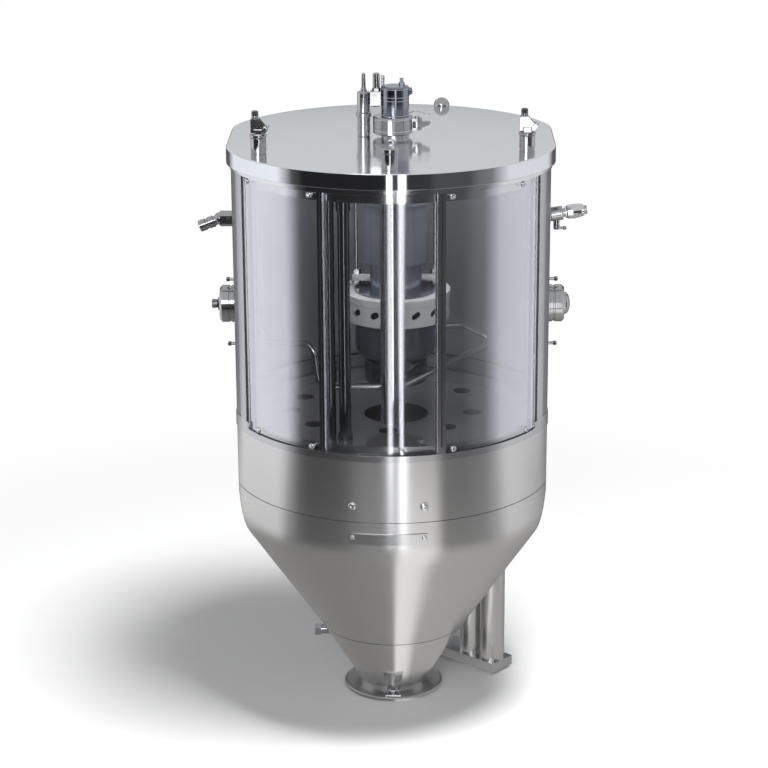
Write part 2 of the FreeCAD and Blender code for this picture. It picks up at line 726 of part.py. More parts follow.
def mullion(angle, width):
    """An upright between two panes: a grooved cover strip, a web and an inner strip."""
    half = degrees_of(width / 2, TANK_R)
    web = degrees_of(WEB_T / 2, TANK_R)
    groove = degrees_of(MULLION_GROOVE / 2, TANK_R)
    cover_r = GLASS_R + SEAT_GAP
    cover = polar_wedge(cover_r, LIP_R, angle - half, angle + half, RING_TOP_Z, TOP_RING_Z)
    cover = cover.cut(polar_wedge(LIP_R - 1, LIP_R + 1, angle - groove, angle + groove, RING_TOP_Z - 1,
                                  TOP_RING_Z + 1))
    middle = polar_wedge(SKIRT_R - 1, cover_r + 1, angle - web, angle + web, RING_TOP_Z, TOP_SKIRT_Z)
    inner = polar_wedge(SKIRT_R_IN, SKIRT_R, angle - half, angle + half, RING_TOP_Z, TOP_SKIRT_Z)
    return cover.fuse(middle).fuse(inner)


def corner_strip(sign):
    """The bright strip that closes the glazing against the rear shell, with a sunk seal bed."""

    def part(r0, r1, a0, a1, z1):
        start, end = sorted((sign * a0, sign * a1))
        return polar_wedge(r0, r1, start, end, RING_TOP_Z, z1)

    cover_r = GLASS_R + SEAT_GAP
    web = degrees_of(WEB_T / 2, TANK_R)
    bed = part(cover_r, cover_r + 1, CORNER_FROM, CORNER_STEP + web, TOP_RING_Z)
    cover = part(cover_r, TANK_R + CORNER_PROUD, CORNER_STEP, CORNER_TO, TOP_RING_Z)
    middle = part(SKIRT_R - 1, cover_r + 0.5, CORNER_STEP - web, CORNER_STEP + web, TOP_SKIRT_Z)
    inner = part(SKIRT_R_IN, SKIRT_R, CORNER_FROM, CORNER_TO - 1, TOP_SKIRT_Z)
    return bed.fuse(cover).fuse(middle).fuse(inner)


def glass_screw_places():
    """(angle, level, seat radius, head radius, head height, shank radius, shank length) of each glazing screw."""
    length = LIP_R - SKIRT_R_IN
    top = [(a, GLASS_SCREW_TOP_Z, GLASS_R, SMALL_HEAD_R, SMALL_HEAD_H, SMALL_SHANK_R, length - 3)
           for a in GLASS_SCREWS_TOP]
    bottom = [(a, GLASS_SCREW_BOTTOM_Z, LIP_R, SMALL_HEAD_R, SMALL_HEAD_H, SMALL_SHANK_R, length)
              for a in GLASS_SCREWS_BOTTOM]
    return top + bottom


def band_screw_places():
    return [(PLATE_ANGLE + s * PLATE_SPREAD, BAND_SCREW_Z, TANK_R, BAND_HEAD_R, BAND_HEAD_H, BAND_SHANK_R, WALL + 4)
            for s in (-1, 1)]


def plate_screw_places():
    seat = TANK_R + PLATE_T + SEAT_GAP / 3
    return [(PLATE_ANGLE + s * PLATE_SPREAD, PLATE_SCREW_Z, seat, SMALL_HEAD_R - 0.6, SMALL_HEAD_H - 0.5,
             SMALL_SHANK_R - 0.5, WALL + 4) for s in (-1, 1)]


def screw_holes(places):
    """Clearance holes for a set of radial screws."""
    holes = []
    for angle, z, seat, _, _, shank_r, length in places:
        start = at_angle(seat + 2, angle, z)
        holes.append(Part.makeCylinder(shank_r + SCREW_GAP, length + 6, start, -direction(angle)))
    return Part.makeCompound(holes)


def button_screw(head_r, head_h, shank_r, length):
    """A low domed screw drawn up the Z axis, with its seat at the origin."""
    points = [(0, -length), (shank_r, -length), (shank_r, 0), (head_r, 0), (head_r, head_h * 0.35),
              (head_r * 0.82, head_h * 0.78), (head_r * 0.5, head_h), (0, head_h)]
    return revolved(points)


def button_screws():
    """Every small domed screw: glazing, band, nameplate and deck."""
    screws = []
    for angle, z, seat, head_r, head_h, shank_r, length in (glass_screw_places() + band_screw_places()
                                                            + plate_screw_places()):
        screw = button_screw(head_r, head_h, shank_r, length)
        screws.append(aimed(screw, at_angle(seat, angle, z), direction(angle)))
    for x, y in DECK_SCREWS:
        screw = button_screw(SMALL_HEAD_R + 1, SMALL_HEAD_H, SMALL_SHANK_R, DECK_T + 3)
        screw.translate(V(x, y, DECK_TOP_Z))
        screws.append(screw)
    return Part.makeCompound([s.Solids[0] if s.Solids else s for s in screws])


def nameplate():
    """A thin bare plate bent to the hopper's front."""
    start, end = PLATE_ANGLE - PLATE_HALF_ANGLE, PLATE_ANGLE + PLATE_HALF_ANGLE
    z0 = PLATE_Z - PLATE_H / 2
    inner = TANK_R + SEAT_GAP / 3
    plate = polar_wedge(inner, inner + PLATE_T, start, end, z0, z0 + PLATE_H)
    ends = [e for e in plate.Edges if e.Length < PLATE_T + 0.2]
    plate = plate.makeFillet(PLATE_ROUND, ends)
    return plate.cut(screw_holes(plate_screw_places()))


def fitting_place(angle):
    return at_angle(FITTING_CIRCLE_R, angle, LID_TOP_Z)


def fitting_bosses():
    """Three polished bosses welded to the lid, each with a dark groove at its foot."""
    bosses = []
    for angle in (FITTING_ANGLES[0], 0.0, FITTING_ANGLES[1]):
        place = fitting_place(angle)
        groove = BOSS_R - BOSS_GROOVE
        points = [(0, 0), (groove, 0), (groove, 1.2), (BOSS_R, 1.6), (BOSS_R, BOSS_H - 1), (BOSS_R - 1, BOSS_H),
                  (0, BOSS_H)]
        boss = revolved(points)
        boss.translate(place)
        bosses.append(boss)
    return Part.makeCompound([b.Solids[0] for b in bosses])


def valve_body():
    """A small angle valve: collar, hexagon and a body that slopes down to a round knuckle."""
    z = BOSS_H
    collar = revolved([(0, z), (COLLAR_R - 1, z), (COLLAR_R, z + 1), (COLLAR_R, z + COLLAR_H - 1),
                       (COLLAR_R - 1.5, z + COLLAR_H), (0, z + COLLAR_H)])
    z += COLLAR_H
    body = collar.fuse(hexagon(VALVE_HEX, z - 0.5, z + VALVE_HEX_H))
    z += VALVE_HEX_H
    half = VALVE_BODY_W / 2
    top = z + VALVE_BODY_H - 4
    profile = [V(-9, -half, z - 4), V(-9, -half, top - 1), V(-8, -half, top), V(1.5, -half, top),
               V(9.5, -half, z + 3), V(9.5, -half, z - 4)]
    wedge = Part.Face(Part.makePolygon(profile + profile[:1])).extrude(V(0, VALVE_BODY_W, 0))
    body = body.fuse(wedge)
    knuckle = Part.makeCylinder(KNUCKLE_R, VALVE_BODY_W + 2, V(8.5, -half - 1, z + 1), V(0, 1, 0))
    body = body.fuse(knuckle)
    bore = cylinder(KNOB_STEM_R + RUN_GAP, top - KNOB_SINK, top + 1, KNOB_X)
    return body.cut(bore), top


def fitting_bodies():
    bodies = []
    for angle in FITTING_ANGLES:
        body = valve_body()[0]
        body.translate(fitting_place(angle))
        bodies.append(body.removeSplitter())
    return Part.makeCompound([b.Solids[0] for b in bodies])


def fitting_knob(angle):
    """A knurled knob on a stem that turns in the valve body."""
    top = valve_body()[1]
    rise = 0.6
    stem = cylinder(KNOB_STEM_R, top - KNOB_SINK + 0.4, top + rise + 1, KNOB_X)
    head = cylinder(KNOB_R, top + rise, top + rise + KNOB_H, KNOB_X)
    cap = Part.makeCone(KNOB_R - 0.4, KNOB_R - 1.4, 1.2, V(KNOB_X, 0, top + rise + KNOB_H))
    for i in range(KNURLS):
        a = math.radians(360 * i / KNURLS)
        x, y = KNOB_X + (KNOB_R + 0.25) * math.cos(a), (KNOB_R + 0.25) * math.sin(a)
        head = head.cut(cylinder(0.7, top + rise - 1, top + rise + KNOB_H + 1, x, y))
    knob = head.fuse(stem).fuse(cap)
    knob.translate(fitting_place(angle))
    return knob


def front_eye():
    """A collar on the front boss with a small upright eye."""
    z = BOSS_H
    collar = revolved([(0, z), (COLLAR_R - 1, z), (COLLAR_R, z + 1), (COLLAR_R, z + 5), (COLLAR_R - 1.5, z + 6.5),
                       (0, z + 6.5)])
    centre_z = z + 6.5 + EYE_R - 0.4
    ring = Part.makeTorus(EYE_R, EYE_WIRE_R, V(2.5, 0, centre_z), V(0, 1, 0))
    eye = collar.fuse(ring)
    eye.translate(fitting_place(0))
    return eye


def vent_dome():
    """A domed vent cap near the lid's back edge."""
    foot = cylinder(DOME_R, 0, 2)
    dome = Part.makeSphere(DOME_R, V(0, 0, 2), UP, 0, 90, 360)
    cap = foot.fuse(dome)
    cap.translate(at_angle(TANK_R - DOME_INSET, DOME_ANGLE, LID_TOP_Z))
    return cap


def motor_clamp():
    """The clamp that holds the motor: an off-centre band on a neck, with a slotted lug for the lever."""
    z0, z1 = CLAMP_Z, CLAMP_Z + CLAMP_H
    band = revolved([(0, z0), (CLAMP_R - 1, z0), (CLAMP_R, z0 + 1), (CLAMP_R, z1 - 1.5), (CLAMP_R - 1.5, z1),
                     (0, z1)], CLAMP_X)
    neck = cylinder(MOTOR_NECK_R, LID_TOP_Z, z0 + 1, DRIVE_X)
    lug = cylinder(LUG_R, z0 + 4, z1 - 3, LUG_X)
    root = box(CLAMP_X + CLAMP_R - 2, LUG_X, -LUG_R, LUG_R, z0 + 4, z1 - 3)
    body = band.fuse(neck).fuse(lug).fuse(root)
    middle = (z0 + z1) / 2
    slot = box(LUG_X - LUG_R - 0.8, LUG_X + LUG_R + 5, -LUG_R - 5, LUG_R + 5, middle - LUG_SLOT / 2,
               middle + LUG_SLOT / 2)
    slot = slot.cut(cylinder(CLAMP_R, z0, z1, CLAMP_X))
    bore = cylinder(CAN_R - CLAMP_WALL, LID_TOP_Z - 1, z1 + 1, DRIVE_X)
    pin_hole = cylinder(LEVER_PIN_R + RUN_GAP, z0, z1, LUG_X)
    return body.cut(slot).cut(bore).cut(pin_hole)


def clamp_lever():
    """A tapered hand lever on an upright pin in the clamp's lug."""
    z0, z1 = CLAMP_Z + 4, CLAMP_Z + CLAMP_H - 3
    middle = CLAMP_Z + CLAMP_H / 2
    half = LUG_SLOT / 2 - SEAT_GAP
    pin = cylinder(LEVER_PIN_R, z0 - 1, z1 + 1.5, LUG_X).fuse(cylinder(LEVER_PIN_R + 1.2, z1 + SEAT_GAP, z1 + 2, LUG_X))
    hub = cylinder(LUG_R - 0.6, middle - half, middle + half, LUG_X)
    outline = [V(LUG_X, -4.5, middle - half), V(LUG_X + LEVER_LEN - 2, -2.6, middle - half),
               V(LUG_X + LEVER_LEN, -1.2, middle - half), V(LUG_X + LEVER_LEN, 1.2, middle - half),
               V(LUG_X + LEVER_LEN - 2, 2.6, middle - half), V(LUG_X, 4.5, middle - half)]
    arm = Part.Face(Part.makePolygon(outline + outline[:1])).extrude(V(0, 0, 2 * half))
    slope = [V(LUG_X + LUG_R, -10, middle - half - 1), V(LUG_X + LEVER_LEN + 1, -10, middle - half - 1),
             V(LUG_X + LEVER_LEN + 1, -10, middle + 0.5)]
    arm = arm.cut(Part.Face(Part.makePolygon(slope + slope[:1])).extrude(V(0, 20, 0)))
    return pin.fuse(hub).fuse(arm)


def motor_can():
    """The motor's lower casing, standing on the clamp."""
    z0 = CLAMP_Z + CLAMP_H
    body = cylinder(CAN_R, z0, CAN_TOP_Z - 1, DRIVE_X).fuse(cylinder(CAN_R - 0.6, CAN_TOP_Z - 1.5, CAN_TOP_Z, DRIVE_X))
    return body.cut(cylinder(SHAFT_R + 1.5, z0 - 1, SHAFT_TOP_Z + 2, DRIVE_X))


def motor_cap():
    """The motor's upper casing with a stud on top and a cable gland at its side."""
    top = CAP_TOP_Z
    body = revolved([(0, CAN_TOP_Z), (CAN_R, CAN_TOP_Z), (CAN_R, top - 2), (CAN_R - 1.2, top - 0.6),
                     (CAN_R - 3, top), (0, top)], DRIVE_X)
    stud = hexagon(2 * STUD_R + 0.5, top - 1, top + 3, DRIVE_X + 8.5, 8).fuse(
        cylinder(STUD_R - 0.7, top, top + STUD_H, DRIVE_X + 8.5, 8))
    gland = Part.makeCylinder(4.4, 6, V(DRIVE_X + CAN_R - 2.5, 3, top - 8), V(1, 0.25, 0.1))
    ring = Part.makeCylinder(5.2, 2.5, V(DRIVE_X + CAN_R - 1.5, 3.2, top - 8), V(1, 0.25, 0.1))
    return body.fuse(stud).fuse(gland).fuse(ring)


def sensor_body():
    """The upright sensor beside the motor, with a ring nut round its middle."""
    z0, z1 = LID_TOP_Z, LID_TOP_Z + SENSOR_H
    r = SENSOR_R
    points = [(0, z0), (r - 0.8, z0), (r, z0 + 1), (r, z0 + 16), (r - 0.5, z0 + 16.5), (r - 0.5, z0 + 17.5),
              (r, z0 + 18), (r, z0 + 24), (r + 1.6, z0 + 25), (r + 1.6, z0 + 30), (r, z0 + 31), (r, z1 - 2),
              (r - 1.5, z1), (0, z1)]
    return revolved(points, SENSOR_X, SENSOR_Y)


def sensor_stem():
    z0 = LID_TOP_Z + SENSOR_H
    r = STEM_R
    points = [(0, z0), (r + 1, z0), (r + 1, z0 + 3), (r, z0 + 5), (r - 0.5, z0 + STEM_H - 1),
              (r - 1.3, z0 + STEM_H), (0, z0 + STEM_H)]
    return revolved(points, SENSOR_X, SENSOR_Y)


def valve_block():
    """The air valve block between the sensor and the motor, with its upright vent pipe."""
    x0 = SENSOR_X + SENSOR_R + SEAT_GAP
    x1 = DRIVE_X - CAN_R - SEAT_GAP
    half = BLOCK_D / 2
    block = box(x0, x1, -half, half, BLOCK_Z, BLOCK_Z + BLOCK_H)
    block = block.makeChamfer(1.5, [e for e in block.Edges if abs(e.BoundBox.ZMin - e.BoundBox.ZMax) < 0.01])
    middle = x1 - VENT_NUT / math.sqrt(3)
    top = BLOCK_Z + BLOCK_H
    end = top + VENT_PIPE_H
    pipe = revolved([(0, top - 1), (VENT_PIPE_R, top - 1), (VENT_PIPE_R, end - 1), (VENT_PIPE_R - 1, end),
                     (0, end)], middle)
    nut = hexagon(VENT_NUT, top - 1, top + VENT_NUT_H, middle)
    screw = Part.makeCylinder(2.4, 4, V(middle - 2, -half - 2, top - 7), V(0, 1, 0))
    return block.fuse(nut).fuse(pipe).fuse(screw)


def drive_housing():
    """The stepped housing that hangs from the lid and carries the upper bearing on an inner web."""
    top = LID_UNDER_Z
    web_z = UPPER_BEARING_Z
    outer = revolved([(0, HOUSING_BOTTOM_Z), (HOUSING_R - 1, HOUSING_BOTTOM_Z), (HOUSING_R, HOUSING_BOTTOM_Z + 1),
                      (HOUSING_R, HOUSING_STEP_Z), (HOUSING_TOP_R, HOUSING_STEP_Z), (HOUSING_TOP_R, top),
                      (0, top)], DRIVE_X)
    inner_r = HOUSING_R - HOUSING_WALL
    lower = cylinder(inner_r, HOUSING_BOTTOM_Z + HOUSING_FLOOR_T, web_z - HOUSING_WALL, DRIVE_X)
    upper = cylinder(inner_r, web_z + BEARING_T, top + 1, DRIVE_X)
    seat = cylinder(BEARING_R + RUN_GAP, web_z, web_z + BEARING_T + 1, DRIVE_X)
    bore = cylinder(SHAFT_R + 3, HOUSING_BOTTOM_Z - 1, top, DRIVE_X)
    return outer.cut(lower).cut(upper).cut(seat).cut(bore)


def bearing_carrier():
    """The narrower casing under the housing, with the lower bearing and the shaft seal in its bores."""
    body = cylinder(CARRIER_R, CARRIER_BOTTOM_Z, HOUSING_BOTTOM_Z, DRIVE_X)
    bore = cylinder(SHAFT_R + 3, CARRIER_BOTTOM_Z - 1, HOUSING_BOTTOM_Z + 1, DRIVE_X)
    seat = cylinder(BEARING_R + RUN_GAP, LOWER_BEARING_Z, HOUSING_BOTTOM_Z + 1, DRIVE_X)
    seal_seat = cylinder(SEAL_R + RUN_GAP, CARRIER_BOTTOM_Z - 1, CARRIER_BOTTOM_Z + SEAL_T, DRIVE_X)
    return body.cut(bore).cut(seat).cut(seal_seat)


def shaft_bearings():
    """Both ball bearings, each as its closed outer shape with a recess between its rings."""
    rings = []
    for z in (UPPER_BEARING_Z, LOWER_BEARING_Z):
        bore = SHAFT_R + RUN_GAP
        top = z + BEARING_T
        points = [(bore, z), (BEARING_R, z), (BEARING_R, top), (BEARING_R - BEARING_STEP, top),
                  (BEARING_R - BEARING_STEP, top - 1),
                  (bore + 2.5, top - 1), (bore + 2.5, top), (bore, top)]
        rings.append(revolved(points, DRIVE_X))
    return Part.makeCompound([r.Solids[0] for r in rings])


def shaft_seal():
    bore = SHAFT_R + RUN_GAP
    z0, z1 = CARRIER_BOTTOM_Z, CARRIER_BOTTOM_Z + SEAL_T
    return revolved([(bore, z0 + 1), (bore + 2.5, z0 + 1), (bore + 2.5, z0), (SEAL_R, z0), (SEAL_R, z1), (bore, z1)],
                    DRIVE_X)


def drive_shaft():
    """The shaft from the motor to the rotor, with a shouldered lower end and a nut under the rotor."""
    foot = rotor_bottom() - ROTOR_FOOT
    small = SHAFT_R - 2
    points = [(0, foot - 6), (4.5, foot - 6), (small, foot - 5), (small, rotor_top()), (SHAFT_R, rotor_top()),
              (SHAFT_R, SHAFT_TOP_Z - 1), (SHAFT_R - 1, SHAFT_TOP_Z), (0, SHAFT_TOP_Z)]
    nut = hexagon(2 * SHAFT_R + 2, foot - 5, foot, DRIVE_X)
    return revolved(points, DRIVE_X).fuse(nut)


def rotor_bottom():
    return STATOR_BOTTOM_Z + 1


def rotor_top():
    return STATOR_BOTTOM_Z + STATOR_H - 1


def rotor_radius(z):
    """The rotor's cone widens downwards, and the stator's bore follows it at the mill gap."""
    return ROTOR_TOP_R + ROTOR_SLOPE * (rotor_top() - z)


def slots(radius_low, radius_high, z0, z1, lean):
    """A ring of thin upright slots, each leaning sideways by an angle, spread evenly round the axis."""
    cutters = []
    height = z1 - z0
    for i in range(TEETH):
        blade = Part.makeBox(radius_high - radius_low, TOOTH_SLOT, height * 1.5,
                             V(radius_low, -TOOTH_SLOT / 2, -height * 0.75))
        blade.rotate(V(0, 0, 0), V(1, 0, 0), lean)
        blade.translate(V(0, 0, (z0 + z1) / 2))
        blade.rotate(V(0, 0, 0), UP, 360 * i / TEETH)
        blade.translate(V(DRIVE_X, 0, 0))
        cutters.append(blade)
    return Part.makeCompound(cutters)


def rotor():
    """The toothed cone that turns inside the stator."""
    z0, z1 = rotor_bottom(), rotor_top()
    low_r, high_r = rotor_radius(z0), rotor_radius(z1)
    points = [(0, z0 - ROTOR_FOOT), (low_r - 3, z0 - ROTOR_FOOT), (low_r, z0), (high_r, z1), (0, z1)]
    core = [(0, z0 - ROTOR_FOOT - 1), (low_r - TOOTH_DEPTH, z0 - ROTOR_FOOT - 1), (low_r - TOOTH_DEPTH, z0),
            (high_r - TOOTH_DEPTH, z1), (high_r - TOOTH_DEPTH, z1 + 1), (0, z1 + 1)]
    cutters = slots(high_r - TOOTH_DEPTH - 4, low_r + 2, z0, z1, 18).cut(revolved(core, DRIVE_X))
    bore = cylinder(SHAFT_R - 2 + RUN_GAP / 5, z0 - 20, z1 + 1, DRIVE_X)
    return revolved(points, DRIVE_X).cut(cutters).cut(bore)


def stator():
    """The fixed toothed ring, which slides in the bowl's bore when the adjusting ring turns."""
    z0, z1 = STATOR_BOTTOM_Z, STATOR_BOTTOM_Z + STATOR_H
    outer = BORE_R - RUN_GAP
    low, high = rotor_radius(z0) + MILL_GAP, rotor_radius(z1) + MILL_GAP
    mouth_z = z1 - STATOR_MOUTH_H
    mouth = rotor_radius(mouth_z) + MILL_GAP
    body = revolved([(low, z0), (outer, z0), (outer, z1), (high + STATOR_MOUTH_W, z1), (mouth, mouth_z)], DRIVE_X)
    tooth = [(0, z0 - 1), (low + TOOTH_DEPTH, z0 - 1), (low + TOOTH_DEPTH, z0), (high + TOOTH_DEPTH, z1),
             (high + TOOTH_DEPTH, z1 + 1), (0, z1 + 1)]
    cutters = slots(high - 4, low + TOOTH_DEPTH + 3, z0, z1, -18).common(revolved(tooth, DRIVE_X))
    return body.cut(cutters)


def mill_bowl():
    """The dark bowl round the stator: a cover with intake ports, a straight bore and a rounded bottom."""
    z0, z1 = BOWL_BOTTOM_Z, BOWL_TOP_Z
    x = DRIVE_X
    body = cylinder(BOWL_R, z0, z1, x)
    body = body.makeFillet(BOWL_ROUND, [e for e in body.Edges if e.BoundBox.ZMax < z0 + 0.1])
    floor = STATOR_BOTTOM_Z - 6
    body = body.cut(cylinder(BORE_R, floor, z1 - BOWL_COVER_T, x))
    body = body.cut(cylinder(SEAL_R - 2, z1 - BOWL_COVER_T - 1, z1 + 1, x))
    body = body.cut(cylinder(DISCHARGE_R - DISCHARGE_WALL - 6, z0 - 1, floor + 1, x))
    for i in range(INTAKES):
        port = box(BORE_R - 6, BOWL_R + 6, -INTAKE_W / 2, INTAKE_W / 2, INTAKE_Z, INTAKE_Z + INTAKE_H)
        port.rotate(V(0, 0, 0), UP, 360 * (i + 0.5) / INTAKES)
        port.translate(V(x, 0, 0))
        body = body.cut(port)
    axis = direction(PIPE_PORT_ANGLE)
    boss = Part.makeCylinder(PIPE_PORT_R, BOWL_WALL / 2 + PIPE_PORT_LEN,
                             V(x, 0, PIPE_PORT_Z) + axis * (BOWL_R - BOWL_WALL / 2), axis)
    return body.fuse(boss)


def adjusting_ring():
    """The pale adjusting ring: two inner lips run on the bowl, and slanted oval windows pierce its wall."""
    z0, z1 = RING_BOTTOM_Z, RING_BOTTOM_Z + RING_H
    rim_z = z1 - RING_RIM_H
    lip_r = BOWL_R + RUN_GAP
    inner = RING_R - RING_WALL
    points = [(lip_r, z0), (RING_R - 2, z0), (RING_R - 1, z0 + 1), (RING_R - 1, rim_z - 1), (RING_R, rim_z),
              (RING_R, z1 - 1), (RING_R - 1, z1), (RING_R - 9, z1), (RING_R - 9, z1 - 2), (lip_r, z1 - 2),
              (lip_r, z1 - 2 - RING_LIP), (inner, z1 - 2 - RING_LIP), (inner, z0 + RING_LIP), (lip_r, z0 + RING_LIP)]
    ring = revolved(points, DRIVE_X)
    middle = (z0 + RING_LIP + rim_z) / 2
    for i in range(WINDOWS):
        ring = ring.cut(window(360 * i / WINDOWS, middle))
    return ring


def window(angle, z):
    """A slanted oval opening through the adjusting ring's wall."""
    half = (WINDOW_W - WINDOW_H) / 2
    slab = box(RING_R - RING_WALL - 4, RING_R + 4, -half, half, -WINDOW_H / 2, WINDOW_H / 2)
    length = RING_WALL + 8
    start = RING_R - RING_WALL - 4
    for y in (-half, half):
        slab = slab.fuse(Part.makeCylinder(WINDOW_H / 2, length, V(start, y, 0), V(1, 0, 0)))
    slab.rotate(V(0, 0, 0), V(1, 0, 0), WINDOW_SLANT)
    slab.rotate(V(0, 0, 0), UP, angle)
    slab.translate(V(DRIVE_X, 0, z))
    return slab


def discharge_tube():
    """The wide outlet tube under the bowl, open above the deck's hole."""
    z0, z1 = DISCHARGE_BOTTOM_Z, BOWL_BOTTOM_Z
    inner = DISCHARGE_R - DISCHARGE_WALL
    flat_r = BOWL_R - BOWL_ROUND
    return revolved([(inner, z0), (DISCHARGE_R - 0.8, z0), (DISCHARGE_R, z0 + 0.8), (DISCHARGE_R, z1 - 2),
                     (flat_r, z1 - 2), (flat_r, z1), (inner - 6, z1), (inner - 6, z1 - 4), (inner, z1 - 6)], DRIVE_X)


def head_bracket():
    """A flat yoke behind the bearing carrier, hung from the lid by a rod at each side."""
    z0, z1 = BRACKET_Z, BRACKET_Z + BRACKET_T
    plate = box(DRIVE_X - BRACKET_REACH, DRIVE_X + BRACKET_REACH, 0, BRACKET_DEPTH, z0, z1)
    plate = plate.makeFillet(8, [e for e in plate.Edges if abs(e.BoundBox.XMin - e.BoundBox.XMax) < 0.01
                                 and abs(e.BoundBox.YMin - e.BoundBox.YMax) < 0.01 and e.BoundBox.YMin > 1])
    plate = plate.cut(cylinder(CARRIER_R + SEAT_GAP, z0 - 1, z1 + 1, DRIVE_X))
    for sign in (-1, 1):
        plate = plate.cut(cylinder(ROD_R + SCREW_GAP, z0 - 1, z1 + 1, DRIVE_X + sign * ROD_X, ROD_Y))
    return plate


def hanger_rods():
    """The two rods that hold the bracket, each with a nut above and below it."""
    rods = []
    for sign in (-1, 1):
        x = DRIVE_X + sign * ROD_X
        rod = cylinder(ROD_R, BRACKET_Z - ROD_NUT_H - 3, LID_UNDER_Z, x, ROD_Y)
        for z in (BRACKET_Z - ROD_NUT_H, BRACKET_Z + BRACKET_T):
            rod = rod.fuse(hexagon(2 * ROD_NUT_R, z, z + ROD_NUT_H, x, ROD_Y))
        rods.append(rod.removeSplitter().Solids[0])
    return Part.makeCompound(rods)


def inlet_tube():
    """The polished feed tube in front of the head, with a matt end sleeve above the deck."""
    body = tube(INLET_R, INLET_R - INLET_WALL, INLET_TIP_Z, LID_UNDER_Z, INLET_X, INLET_Y)
    tip = tube(INLET_R - 0.4, INLET_R - INLET_WALL, INLET_BOTTOM_Z, INLET_TIP_Z + 1, INLET_X, INLET_Y)
    return body.fuse(tip)


def guide_columns():
    """Two upright columns at the front left, one with a top bush, the other with a union near its foot."""
    z0, z1 = DECK_TOP_Z, LID_UNDER_Z
    a = revolved([(0, z0), (COLUMN_FOOT_R, z0), (COLUMN_FOOT_R, z0 + COLUMN_FOOT_H - 2),
                  (COLUMN_FOOT_R - 1.5, z0 + COLUMN_FOOT_H), (COLUMN_A_R, z0 + COLUMN_FOOT_H),
                  (COLUMN_A_R, COLUMN_BUSH_Z), (COLUMN_FOOT_R, COLUMN_BUSH_Z), (COLUMN_FOOT_R, z1), (0, z1)],
                 COLUMN_A_X, COLUMN_Y)
    union_top = UNION_Z + UNION_H
    rim = COLUMN_B_R + 1.4
    b = revolved([(0, z0), (COLUMN_B_R, z0), (COLUMN_B_R, UNION_Z), (rim, UNION_Z), (rim, UNION_Z + 5),
                  (rim - 0.8, UNION_Z + 6), (rim - 0.8, union_top - 4), (rim, union_top - 3), (rim, union_top),
                  (COLUMN_B_R, union_top), (COLUMN_B_R, z1), (0, z1)], COLUMN_B_X, COLUMN_Y)
    return Part.makeCompound([a.Solids[0], b.Solids[0]])


def bent_pipe(points, radius, bend):
    """A round pipe along straight runs joined by tangent arcs."""
    edges = []
    last = points[0]
    for before, corner, after in zip(points, points[1:], points[2:]):
        back = (before - corner).normalize()
        ahead = (after - corner).normalize()
        half = math.acos(max(-1, min(1, back.dot(ahead)))) / 2
        room = 0.45 * min(before.distanceToPoint(corner), after.distanceToPoint(corner))
        r = min(bend, room * math.tan(half))
        reach = r / math.tan(half)
        start, end = corner + back * reach, corner + ahead * reach
        centre = corner + (back + ahead).normalize() * (r / math.sin(half))
        middle = centre + (corner - centre).normalize() * r
        edges.append(Part.LineSegment(last, start).toShape())
        edges.append(Part.Arc(start, middle, end).toShape())
        last = end
    edges.append(Part.LineSegment(last, points[-1]).toShape())
    path = Part.Wire(edges)
    ring = Part.Wire(Part.Circle(points[0], points[1] - points[0], radius).toShape())
    return path.makePipeShell([ring], True, True)


def pipe_route():
    """From the bowl's side port round the head and up the left wall to the left nozzle."""
    axis = direction(PIPE_PORT_ANGLE)
    port = V(DRIVE_X, 0, PIPE_PORT_Z) + axis * (BOWL_R + PIPE_PORT_LEN)
    right = V(PIPE_RIGHT_X, PIPE_RIGHT_Y, PIPE_PORT_Z - PIPE_RIGHT_DROP)
    front = V(PIPE_FRONT_X, PIPE_FRONT_Y, right.z - PIPE_FRONT_DROP)
    left = V(PIPE_LEFT_X, PIPE_LEFT_Y, front.z)
    riser = V(PIPE_LEFT_X - PIPE_BEND_R / 2, PIPE_LEFT_Y + PIPE_BEND_R / 2, front.z + PIPE_RISE)
    wall = V(-TANK_HALF + PIPE_WALL_SPACE, 0, riser.z - PIPE_BEND_R)
    elbow = V(wall.x, 0, NOZZLE_Z)
    return [port, port + axis * PIPE_BEND_R * 2, right, front, left, riser, wall, elbow,
            V(-TANK_HALF + WALL + NOZZLE_DISC_T, 0, NOZZLE_Z)]


def recirculation_pipe():
    return bent_pipe(pipe_route(), PIPE_R, PIPE_BEND_R)


def left_stub_radius():
    return PIPE_R + 1.5


